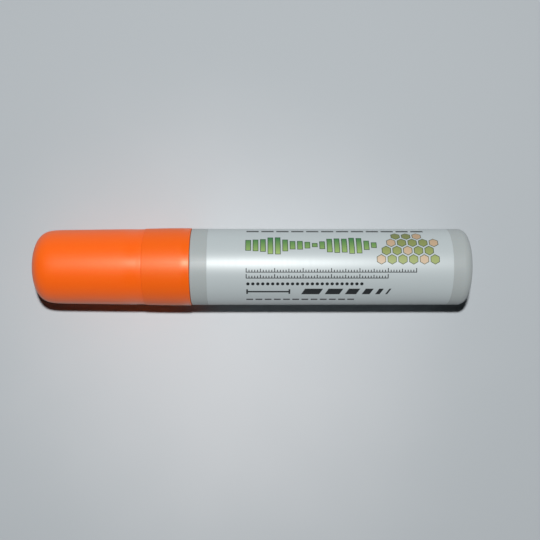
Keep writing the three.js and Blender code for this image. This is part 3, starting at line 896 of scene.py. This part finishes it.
@dataclass
class Barrel:
    """Moulded tube that is also the tank, with a closed base and a threaded neck."""

    radius: float = 14
    wall: float = 1.3
    shoulder_x: float = -21.4  # up to the collar's rim
    shoulder_round: float = 0.3
    shoulder_wall: float = 1.5
    base_round: float = 3
    base_wall: float = 1.6
    dish_radius: float = 7
    dish_depth: float = 0.6
    dish_slope: float = 0.8
    gate_radius: float = 0.8  # stub left where the plastic entered the mould
    gate_height: float = 0.25
    gate_foot: float = 0.2  # how much wider the stub is at its foot
    tank_round: float = 2
    neck_radius: float = 11.4
    neck_bore: float = 9.95
    panel_start: float = -15.44
    panel_end: float = 71.89
    panel_radius: float = 13.75
    thread_crest: float = 12.2
    thread_start: float = -23.4
    ball_radius: float = 4

    def outline(self) -> list[Point]:
        """Returns the section of the tube, from the middle of the tank's end to the middle of the base."""
        neck_x, base_x = span("barrel")
        tank = self.radius - self.wall
        tank_end, tank_front = base_x - self.base_wall, self.shoulder_x + self.shoulder_wall
        dish_x = base_x - self.dish_depth
        gate_x = dish_x + self.gate_height
        return filleted([
            (tank_end, 0, 0), (tank_end, tank, self.tank_round),
            (tank_front + tank - self.neck_bore, tank, 1), (tank_front, self.neck_bore, 0.5),
            (neck_x, self.neck_bore, 0.2), (neck_x, self.neck_radius, 0.4),
            (self.shoulder_x, self.neck_radius, 0.25), (self.shoulder_x, self.radius, self.shoulder_round),
            (self.panel_start, self.radius, 0.03), (self.panel_start, self.panel_radius, 0),
            (self.panel_end, self.panel_radius, 0), (self.panel_end, self.radius, 0.03),
            (base_x, self.radius, self.base_round), (base_x, self.dish_radius, 0.25),
            (dish_x, self.dish_radius - self.dish_slope, 0.3), (dish_x, self.gate_radius + self.gate_foot, 0.1),
            (gate_x, self.gate_radius, 0.08), (gate_x, 0, 0),
        ], steps=8)

    def build(self) -> None:
        """Makes the barrel and the two mixing balls in it."""
        draft = Draft().turned(self.outline())
        ScrewThread(self.neck_radius, self.thread_crest, self.thread_start).cut_on(draft)
        put(draft, "barrel_moulding", "barrel", GREY_PP, "barrel")
        for name in ("mixing_ball_1", "mixing_ball_2"):
            low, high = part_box(name)
            middle = (low + high) / 2
            ball = Draft().turned(arc((0, 0), self.ball_radius, 180, 0, 32), SMALL_SIDES)
            ball.moved(middle.x / MM, middle.y / MM, (middle.z - AXIS_Z) / MM)
            put(ball, f"{name}_steel", name, SPRING_STEEL, name)


@dataclass
class Label:
    """Printed silver film wrapped round the barrel, with a generic print of bars, cells and scales."""

    radius: float = 13.97
    film: float = 0.16
    edge: float = 0.02
    seam: float = 1
    seam_angle: float = -2.5
    first_ink: float = 0.01  # height of the first ink over the film
    second_ink: float = 0.022
    ink_root: float = 0.03  # how far the inks' undersides are sunk into the film
    key: float = 0.22  # width of the dark edge round each coloured shape

    def build(self) -> None:
        """Makes the film and its print."""
        start, end = span("label")
        inner, gap = self.radius - self.film, self.seam / self.radius
        corners = [(start, inner, 0), (start, self.radius, self.edge), (end, self.radius, self.edge), (end, inner, 0)]
        ring = filleted(corners, closed=True)
        film = Draft().turned(ring, SIDES, self.seam_angle + gap / 2, 2 * math.pi - gap)
        put(film, "label_wrap", "barrel", SILVER_FILM, "label")
        olive, beige = self.cells(0)
        for name, finish, layer, shapes in (
            ("label_print_key", KEY_INK, self.first_ink, self.bars(self.key) + sum(self.cells(self.key), [])),
            ("label_print_green", GREEN_INK, self.second_ink, self.bars(0)),
            ("label_print_olive", OLIVE_INK, self.second_ink, olive),
            ("label_print_beige", BEIGE_INK, self.second_ink, beige),
            ("label_print_black", BLACK_INK, self.first_ink, self.scales() + self.strokes()),
        ):
            draft = Draft()
            for shape in shapes:
                placed = [(start + u, s) for u, s in shape]
                draft.laid_round(placed, self.radius - self.ink_root, self.radius + layer)
            put(draft, name, "barrel", finish)

    @staticmethod
    def strip(u0: float, u1: float, s0: float, s1: float, slant: float = 0) -> list[Point]:
        """Returns an upright or slanted bar between two places along and two round the label."""
        return [(u0, s0), (u1, s0), (u1 + slant, s1), (u0 + slant, s1)]

    @staticmethod
    def polygon(u: float, s: float, size: float, corners: int, turn: float = 0) -> list[Point]:
        """Returns a regular shape with its middle, size and number of corners."""
        angles = [a + math.radians(turn) for a in ring_angles(corners)]
        return [(u + size * math.cos(a), s + size * math.sin(a)) for a in angles]

    def bars(self, edge: float) -> Shapes:
        """Returns the ribbon of level bars from the label's left to its middle, each grown by an edge."""
        first, pitch, width, middle, count = 13.9, 2.62, 1.55, 8.1, 18
        shapes = []
        for i in range(count):
            u, half = first + i * pitch, 2.1 + 1.15 * math.sin(0.62 * i - 0.4) + 0.45 * math.cos(1.7 * i)
            shapes.append(self.strip(u - edge, u + width + edge, middle - half - edge, middle + half + edge))
        return shapes

    def cells(self, edge: float) -> tuple[Shapes, Shapes]:
        """Returns the honeycomb at the right as olive and beige cells, each grown by an edge."""
        size, across, up, lowest, corner_growth = 1.62, 1.9, 3.3, 2.6, 1.15
        olive, beige = [], []
        for row, (first, count) in enumerate(((61.6, 6), (63.5, 5), (65.4, 5), (67.3, 3))):
            for i in range(count):
                cell = self.polygon(first + 2 * across * i, lowest + up * row, size + corner_growth * edge, 6, 30)
                (beige if (i + 2 * row) % 4 == 0 else olive).append(cell)
        return olive, beige

    def scales(self) -> Shapes:
        """Returns the dashed line at the top edge, two millimetre scales and a row of dots under the highlight."""
        shapes = [self.strip(14 + 5.4 * i, 18.4 + 5.4 * i, 15.4, 16.5) for i in range(12)]
        start, line, tick = 14, 0.14, 0.16  # with half a line's and half a tick's width
        for foot, count in ((-1.95, 60), (-4.1, 50)):
            shapes.append(self.strip(start - line, start + count + line, foot - line, foot + line))
            for i in range(count + 1):
                tall = 1.45 if i % 10 == 0 else 1.2 if i % 5 == 0 else 0.85
                shapes.append(self.strip(start + i - tick, start + i + tick, foot, foot + tall))
        return shapes + [self.polygon(14.6 + 1.75 * i, -6.3, 0.6, 16) for i in range(24)]

    def strokes(self) -> Shapes:
        """Returns the bracket that shows the nib's width, its sample strokes and a dashed rule below."""
        bracket, slant = (14.3, 29.3), 1.3
        shapes = [self.strip(*bracket, -9.95, -9.3)]
        shapes += [self.strip(u - 0.3, u + 0.3, -10.7, -8.55) for u in bracket]
        for u, width in ((33.5, 6.4), (41.9, 5.2), (49.1, 4.0), (55.1, 2.8), (59.9, 1.6), (63.5, 0.7)):
            shapes.append(self.strip(u, u + width, -10.9, -8.3, slant))
        return shapes + [self.strip(14 + 3.3 * i, 16.4 + 3.3 * i, -14.3, -13.5) for i in range(12)]


@dataclass
class Collar:
    """Screwed ring that holds the head on the neck."""

    front_radius: float = 13.98
    waist_x: float = -31
    waist_radius: float = 14.145
    swell_x: float = -24.8
    swell_radius: float = 14.206
    rim_radius: float = 14.18
    bore: float = 12.6
    opening: float = 11.7
    web: float = 2.15
    lip: float = 0.16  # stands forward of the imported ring, up to the cap
    rim_setback: float = 0.35
    edge: float = 0.12
    thread_crest: float = 11.8
    thread_start: float = -24.9

    def build(self) -> None:
        """Makes the collar, which swells towards its rim as the one in the photograph does."""
        front, rim = span("collar")
        web_x = front + self.web
        front -= self.lip
        rim -= self.rim_setback
        draft = Draft().turned(filleted([
            (front, self.opening, 0.2), (front, self.front_radius, self.edge),
            (self.waist_x, self.waist_radius, 400), (self.swell_x, self.swell_radius, 90),
            (rim, self.rim_radius, 0.22), (rim, self.bore, 0.35),
            (web_x, self.bore, 0.3), (web_x, self.opening, 0.15),
        ], closed=True))
        ScrewThread(self.bore, self.thread_crest, self.thread_start).cut_on(draft)
        put(draft, "collar_ring", "collar", MATT_ORANGE_PP, "collar")


@dataclass
class Head:
    """Front section: the moulded holder of the nib and the valve, and the gasket behind it."""

    seat_radius: float = 11.4
    seat_length: float = 14
    bead_height: float = 0.25
    bead_length: float = 1.6
    bead_setback: float = 3
    land_radius: float = 9.9
    land_length: float = 4
    nose_radius: float = 9.4
    flange_x: float = -35.825
    flange_radius: float = 12.2
    flange_thickness: float = 2
    skirt_radius: float = 9.65
    chamber_radius: float = 8.6
    slot_width: float = 15.3
    slot_height: float = 7.3
    slot_round: float = 0.95
    slot_depth: float = 10.8
    core_wall: float = 1.5
    core_skin: float = 0.85
    core_width: float = 8
    overrun: float = 1
    gasket_bore: float = 9.95
    gasket_radius: float = 11.25
    gasket_edge: float = 0.22

    def holder(self) -> Draft:
        """Returns the front section: a turned holder with the nib's slot and two hollows beside it."""
        nose, skirt_end = span("front_section")
        seat = self.flange_x - self.seat_length
        land, slot_end = seat - self.land_length, nose + self.slot_depth
        flange_back, bead = self.flange_x + self.flange_thickness, seat + self.bead_setback
        made = Draft().turned(filleted([
            (nose, 0, 0), (nose, self.nose_radius, 0.4),
            (land, self.land_radius, 1.5), (seat, self.land_radius, 0.3), (seat, self.seat_radius, 0.4),
            (bead - self.bead_length / 2, self.seat_radius, 0.4), (bead, self.seat_radius + self.bead_height, 0.8),
            (bead + self.bead_length / 2, self.seat_radius, 0.4), (self.flange_x, self.seat_radius, 0.25),
            (self.flange_x, self.flange_radius, 0.2), (flange_back, self.flange_radius, 0.2),
            (flange_back, self.skirt_radius, 0.2), (skirt_end, self.skirt_radius, 0.2),
            (skirt_end, self.chamber_radius, 0.2), (slot_end, self.chamber_radius, 0.3), (slot_end, 0, 0),
        ]))
        slot = bar_section(self.slot_width, self.slot_height, self.slot_round)
        made = made.met(Draft().drawn_out(slot, nose - self.overrun, slot_end + self.overrun), Join.CUT)
        reach = math.sqrt((self.nose_radius - self.core_skin) ** 2 - (self.core_width / 2) ** 2)
        near = self.slot_height / 2 + self.core_wall
        for low, high in ((near, reach), (-reach, -near)):
            core = box_section(self.core_width, low, high)
            made = made.met(Draft().drawn_out(core, nose + self.core_wall, slot_end + self.overrun), Join.CUT)
        return made

    def build(self) -> None:
        """Makes the holder and its gasket."""
        put(self.holder(), "front_holder", "head", NATURAL_PP, "front_section")
        gasket = washer("head_gasket", self.gasket_bore, self.gasket_radius, self.gasket_edge, SIDES)
        put(gasket, "gasket_ring", "head", NITRILE, "head_gasket")


@dataclass
class Valve:
    """Pump valve: the seat with its windowed cage, and the sprung plunger that the nib pushes open."""

    spigot_radius: float = 8.3
    spigot_wall: float = 1.2
    spigot_length: float = 3
    flange_radius: float = 9.65
    flange_thickness: float = 1.5
    hole_radius: float = 3.2
    cage_radius: float = 6.7
    cage_bore: float = 5.5
    window_width: float = 5
    window_margin: float = 2.4  # ring of the cage left whole at each end
    window_round: float = 0.9
    retainer_hole: float = 2.3
    retainer_spigot: float = 5.2
    seal_bore: float = 3.05
    seal_radius: float = 4.9
    seal_edge: float = 0.18
    poppet_radius: float = 5
    poppet_thickness: float = 1.4
    pin_radius: float = 1.9
    pin_length: float = 1.8
    tail_radius: float = 2
    stem_radius: float = 2.9
    stem_rib: float = 1.3
    stem_round: float = 0.3
    spring_radius: float = 4.3
    spring_wire: float = 0.7
    spring_turns: float = 6.5
    closed_turns: float = 0.8  # flat turns at each end of the spring
    nib_travel: float = 3.5

    def housing(self) -> Draft:
        """Returns the seat with its spigot in front and the spring cage behind, open at four windows."""
        front, end = span("valve_body")
        seat_front = front + self.spigot_length
        seat_back = seat_front + self.flange_thickness
        spigot_bore = self.spigot_radius - self.spigot_wall
        made = Draft().turned(filleted([
            (front, spigot_bore, 0.3), (front, self.spigot_radius, 0.4),
            (seat_front, self.spigot_radius, 0.2), (seat_front, self.flange_radius, 0.2),
            (seat_back, self.flange_radius, 0.35), (seat_back, self.cage_radius, 0.5),
            (end, self.cage_radius, 0.3), (end, self.cage_bore, 0.25),
            (seat_back, self.cage_bore, 0.3), (seat_back, self.hole_radius, 0.2),
            (seat_front, self.hole_radius, 0.3), (seat_front, spigot_bore, 0.5),
        ], closed=True))
        length, reach = end - seat_back - 2 * self.window_margin, self.cage_radius + 1
        window = bar_section(length, self.window_width, self.window_round)
        for way in ((1, 2, 0), (1, 0, 2)):
            cutter = Draft().drawn_out(window, -reach, reach).swung(*way).moved((seat_back + end) / 2)
            made = made.met(cutter, Join.CUT)
        return made

    def plunger(self) -> Draft:
        """Returns the cross-shaped stem with its poppet and its guide pin."""
        start, end = span("valve_plunger")
        poppet = span("valve_seal")[1]
        back = poppet + self.poppet_thickness
        made = Draft().turned(filleted([
            (start, 0, 0), (start, self.pin_radius, 0.45), (poppet, self.pin_radius, 0),
            (poppet, self.poppet_radius, 0.2), (back, self.poppet_radius, 0.3),
            (back, self.tail_radius, 0.5), (end, self.tail_radius, 0.6), (end, 0, 0),
        ]), SMALL_SIDES)
        reach = 2 * math.sqrt(self.stem_radius**2 - (self.stem_rib / 2) ** 2)
        for width, height in ((self.stem_rib, reach), (reach, self.stem_rib)):
            section = bar_section(width, height, self.stem_round)
            rib = Draft().drawn_out(section, start + self.pin_length, poppet + self.poppet_thickness / 2)
            made = made.met(rib, Join.UNITE)
        return made

    def retainer(self) -> Draft:
        """Returns the disc that closes the cage and guides the plunger's pin."""
        front, back = span("spring_retainer")
        cage_end = span("valve_body")[1]
        return Draft().turned(filleted([
            (front, self.retainer_hole, 0.25), (front, self.retainer_spigot, 0.35),
            (cage_end, self.retainer_spigot, 0.1), (cage_end, self.cage_radius, 0.2),
            (back, self.cage_radius, 0.4), (back, self.retainer_hole, 0.35),
        ], closed=True))

    def spring(self) -> Draft:
        """Returns the return spring, with its end turns closed up."""
        start, end = span("valve_spring")
        wire = self.spring_wire / 2
        circle = [(wire * math.cos(a), self.spring_radius + wire * math.sin(a)) for a in ring_angles(12)]
        first, last = end - wire, start + wire
        share_closed = self.closed_turns / self.spring_turns
        drop = self.spring_wire * self.closed_turns

        def along(share: float) -> float:
            """Returns the middle of the wire at a share of the way from the retainer to the poppet."""
            if share < share_closed:
                return first - drop * share / share_closed
            if share > 1 - share_closed:
                return last + drop * (1 - share) / share_closed
            free = (share - share_closed) / (1 - 2 * share_closed)
            return first - drop + (last - first + 2 * drop) * free

        return Draft().wound(lambda share: circle, along, self.spring_turns, 48)

    def build(self) -> None:
        """Makes the housing, the retainer, the plunger with its seal, and the spring."""
        put(self.housing(), "valve_housing", "head", NATURAL_PP, "valve_body")
        put(self.retainer(), "retainer_disc", "head", NATURAL_PP, "spring_retainer")
        put(self.plunger(), "plunger_moulding", "nib_unit", NATURAL_PP, "valve_plunger")
        seal = washer("valve_seal", self.seal_bore, self.seal_radius, self.seal_edge, SMALL_SIDES)
        put(seal, "seal_washer", "nib_unit", NITRILE, "valve_seal")
        spring = put(self.spring(), "return_spring", "head", SPRING_STEEL, "valve_spring")
        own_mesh(spring)


@dataclass
class Nib:
    """Felt block cut to a chisel end, and the clawed plate that holds its rear end."""

    width: float = 15
    thickness: float = 7
    corner: float = 0.8
    bevel: float = 5.5
    edge: float = 0.9
    plate: float = 1.4
    plate_reach: float = 8.3  # farthest from the axis
    plate_height: float = 9.7
    grip: float = 3.65  # from the axis to the inside of each claw
    claw_wall: float = 1.1
    claw_width: float = 8
    hole_radius: float = 1.1
    hole_place: float = 5
    socket_radius: float = 3.3
    socket_bore: float = 2.2
    socket_floor: float = 0.25  # how far the bore goes into the plate
    overrun: float = 1  # how far each cutter stands clear of what it cuts
    root: float = 0.1  # how far each claw stays short of the plate's back
    soft_edge: float = 0.25

    def carrier(self) -> Draft:
        """Returns the plate with its two claws, two feed holes and the socket of the plunger."""
        claw_tip, socket_end = span("nib_carrier")
        front = span("nib")[1]
        back = front + self.plate
        disc = round_pin(front, back, self.plate_reach, 0.25)
        outline = bar_section(self.width, self.plate_height, 0.5)
        made = disc.met(Draft().drawn_out(outline, front - self.overrun, back + self.overrun), Join.SHARE)
        for side in (-1, 1):
            claw = Draft().drawn_out(bar_section(self.claw_width, self.claw_wall, 0.4), claw_tip, back - self.root)
            made = made.met(claw.moved(dz=side * (self.grip + self.claw_wall / 2)), Join.UNITE)
            hole = round_pin(front - self.overrun, back + self.overrun, self.hole_radius)
            made = made.met(hole.moved(dy=side * self.hole_place), Join.CUT)
        made = made.met(round_pin(front + self.plate / 2, socket_end, self.socket_radius, 0.3), Join.UNITE)
        return made.met(round_pin(back - self.socket_floor, socket_end + self.overrun, self.socket_bore), Join.CUT)

    def build(self) -> None:
        """Makes the nib and its carrier."""
        tip, tail = span("nib")
        half, before, reach = self.thickness / 2, tip - self.overrun, self.width / 2 + self.overrun
        block = Draft().drawn_out(bar_section(self.width, self.thickness, self.corner), tip, tail)
        slope = self.bevel / (self.thickness - self.edge)
        top, under = half - self.edge, -half - self.overrun
        wedge = [(tip, top), (tip + self.bevel + slope, under), (before, under), (before, top)]
        points = [(x, y, z) for y in (-reach, reach) for x, z in wedge]
        sides = [(k, (k + 1) % 4, 4 + (k + 1) % 4, 4 + k) for k in range(4)]
        cutter = Draft().add(points, [*sides, (0, 1, 2, 3), (7, 6, 5, 4)])
        put(block.met(cutter, Join.CUT), "felt_nib", "nib_unit", WHITE_FELT, "nib", soft_edge=self.soft_edge)
        put(self.carrier(), "carrier_plate", "nib_unit", NATURAL_PP, "nib_carrier")


@dataclass
class Cap:
    """Pull-off cap: the domed shell and the soft cup that seals over the nose."""

    shoulder_x: float = -44.3  # where the side's draft ends
    shoulder_radius: float = 13.81
    draft: float = 0.0132  # how much the side narrows towards the dome, per millimetre
    dome_length: float = 18.5
    dome_flatness: float = 7.8
    dome_roundness: float = 1.87
    rub_x: float = -40.2
    rub_radius: float = 13.785
    mouth_radius: float = 13.81
    lip: float = 0.1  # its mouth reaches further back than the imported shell, up to the collar
    edge: float = 0.1
    wall: float = 1.5
    bore: float = 12
    boss_radius: float = 3
    boss_length: float = 2.2
    ribs: int = 6
    rib_thickness: float = 1
    rib_start: float = 5.2
    rib_length: float = 21
    cup_radius: float = 10.85
    cup_wall: float = 0.7
    cup_end: float = 0.9
    cup_round: float = 1.2
    slide_gap: float = 0.3

    def dome(self, depth: float) -> list[Point]:
        """Draws the domed end, which runs into the side without an edge.

        Args:
            depth: how far it lies under the outer face.

        Returns:
            Its points from the axis to the side.
        """
        steps, crowding = 40, 2.2  # the steps lie closer together towards the tip
        start, length = span("cap_shell")[0] + depth, self.dome_length - depth
        points = []
        for i in range(steps + 1):
            t = (i / steps) ** crowding
            side = self.shoulder_radius - depth - self.draft * (self.shoulder_x - start - t * length)
            swell = (1 - (1 - t) ** self.dome_flatness) ** (1 / self.dome_roundness)
            points.append((start + t * length, side * swell))
        return points

    def shell(self) -> Draft:
        """Returns the outer shell with the ribs in its bore."""
        end_x, mouth_x = span("cap_shell")
        mouth_x += self.lip
        boss_x = end_x + self.wall + self.boss_length
        side = filleted([
            (*self.dome(0)[-1], 0), (self.shoulder_x, self.shoulder_radius, 200), (self.rub_x, self.rub_radius, 40),
            (mouth_x, self.mouth_radius, self.edge), (mouth_x, self.bore, 0.35), (*self.dome(self.wall)[-1], 0),
        ])
        inner = [p for p in self.dome(self.wall)[:-1] if p[1] > self.boss_radius]
        boss = [(end_x + self.wall, self.boss_radius), (boss_x, self.boss_radius), (boss_x, 0)]
        draft = Draft().turned(self.dome(0)[:-1] + side + inner[::-1] + boss)
        start = end_x + self.rib_start
        section = box_section(self.rib_thickness, self.cup_radius + self.slide_gap, self.bore + self.wall / 3)
        for angle in ring_angles(self.ribs):
            turn = angle + math.pi / self.ribs
            c, s = math.cos(turn), math.sin(turn)
            draft.drawn_out([(y * c - z * s, y * s + z * c) for y, z in section], start, start + self.rib_length)
        return draft

    def cup(self) -> Draft:
        """Returns the soft inner cup."""
        end_x, mouth_x = span("inner_cap")
        bore, inner_x = self.cup_radius - self.cup_wall, end_x + self.cup_end
        return Draft().turned(filleted([
            (end_x, 0, 0), (end_x, self.cup_radius, self.cup_round), (mouth_x, self.cup_radius, 0.2),
            (mouth_x, bore, 0.3), (inner_x, bore, self.cup_round / 2), (inner_x, 0, 0),
        ]))

    def build(self) -> None:
        """Makes the shell and the cup."""
        put(self.shell(), "cap_moulding", "cap", ORANGE_PP, "cap_shell")
        put(self.cup(), "inner_cup", "cap", SOFT_PE, "inner_cap")


@dataclass
class Studio:
    """Plain pale floor, a small lamp above as in the photograph, even fill, and the camera over the marker."""

    floor_size: float = 8.0
    rim_radius: float = 14.206
    lamp_place: Place = (0.0, 0.066, 0.357)
    lamp_radius: float = 0.0094
    lamp_light: float = 3.32  # on a surface that faces it, at any distance
    fill_strength: float = 0.012
    fill_colour: str = "#eef1f6"
    backdrop_top: float = 0.9  # height of a look, as a sine, at which the backdrop has faded out
    camera_place: Place = (0.00224, -0.00119, 0.2973)
    camera_turn: float = 1.0  # how far the camera leans towards +X, in degrees
    lens: float = 51.16

    def floor(self) -> None:
        """Lays the floor under the lowest line of the collar's rim."""
        height, half = AXIS_Z - self.rim_radius * MM, self.floor_size / 2
        corners = [(-half, -half, height), (half, -half, height), (half, half, height), (-half, half, height)]
        mesh = bpy.data.meshes.new("floor")
        mesh.from_pydata(corners, [], [(0, 1, 2, 3)])
        mesh.materials.append(FLOOR_BOARD.material())
        add_object("floor", mesh)

    def lamp(self) -> None:
        """Hangs the lamp, whose light is as strong far from it as near, so that the floor stays even."""
        data = bpy.data.lights.new("lamp", "POINT")
        data.energy = 4 * math.pi * self.lamp_light
        data.shadow_soft_size = self.lamp_radius
        tree = empty_tree(data)
        even = add_node(tree, "ShaderNodeLightFalloff", inputs={"Strength": 1.0})
        glow = add_node(tree, "ShaderNodeEmission", inputs={"Strength": even.outputs["Constant"]})
        add_node(tree, "ShaderNodeOutputLight", inputs={"Surface": glow.outputs[0]})
        add_object("lamp", data).location = self.lamp_place

    def world(self) -> None:
        """Sets the even fill, and the pale backdrop that is seen low over the floor but lights nothing."""
        world = bpy.data.worlds.new("studio")
        tree = empty_tree(world)
        fill = add_node(tree, "ShaderNodeBackground", inputs={
            "Color": linear(self.fill_colour), "Strength": self.fill_strength,
        })
        backdrop = add_node(tree, "ShaderNodeBackground", inputs={"Color": linear(BACKDROP), "Strength": 1.0})
        way = add_node(tree, "ShaderNodeTexCoord").outputs["Generated"]
        height = add_node(tree, "ShaderNodeSeparateXYZ", inputs={"Vector": way}).outputs["Z"]
        low = add_node(tree, "ShaderNodeMapRange", inputs={
            "Value": height, "From Min": 0.0, "From Max": self.backdrop_top, "To Min": 1.0, "To Max": 0.0,
        })
        seen = only_seen(tree, low.outputs["Result"], fill.outputs[0], backdrop.outputs[0])
        add_node(tree, "ShaderNodeOutputWorld", inputs={"Surface": seen})
        bpy.context.scene.world = world

    def camera(self) -> None:
        """Sets the camera above the marker, looking straight down but for a slight lean."""
        data = bpy.data.cameras.new("camera")
        data.sensor_width, data.lens, data.clip_start = 36, self.lens, 0.01
        camera = add_object("camera", data)
        camera.location = self.camera_place
        camera.rotation_euler = (0, -math.radians(self.camera_turn), 0)
        bpy.context.scene.camera = camera
        bpy.context.scene.view_settings.view_transform = "Standard"

    def build(self) -> None:
        """Sets up floor, lamp, fill and camera."""
        self.floor()
        self.lamp()
        self.world()
        self.camera()


def main() -> None:
    """Builds the marker and its studio."""
    Studio().build()
    for part in (Barrel(), Label(), Collar(), Head(), Valve(), Nib(), Cap()):
        part.build()
        log.info("%s done", type(part).__name__)
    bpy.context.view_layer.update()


if __name__ == "__main__":
    main()
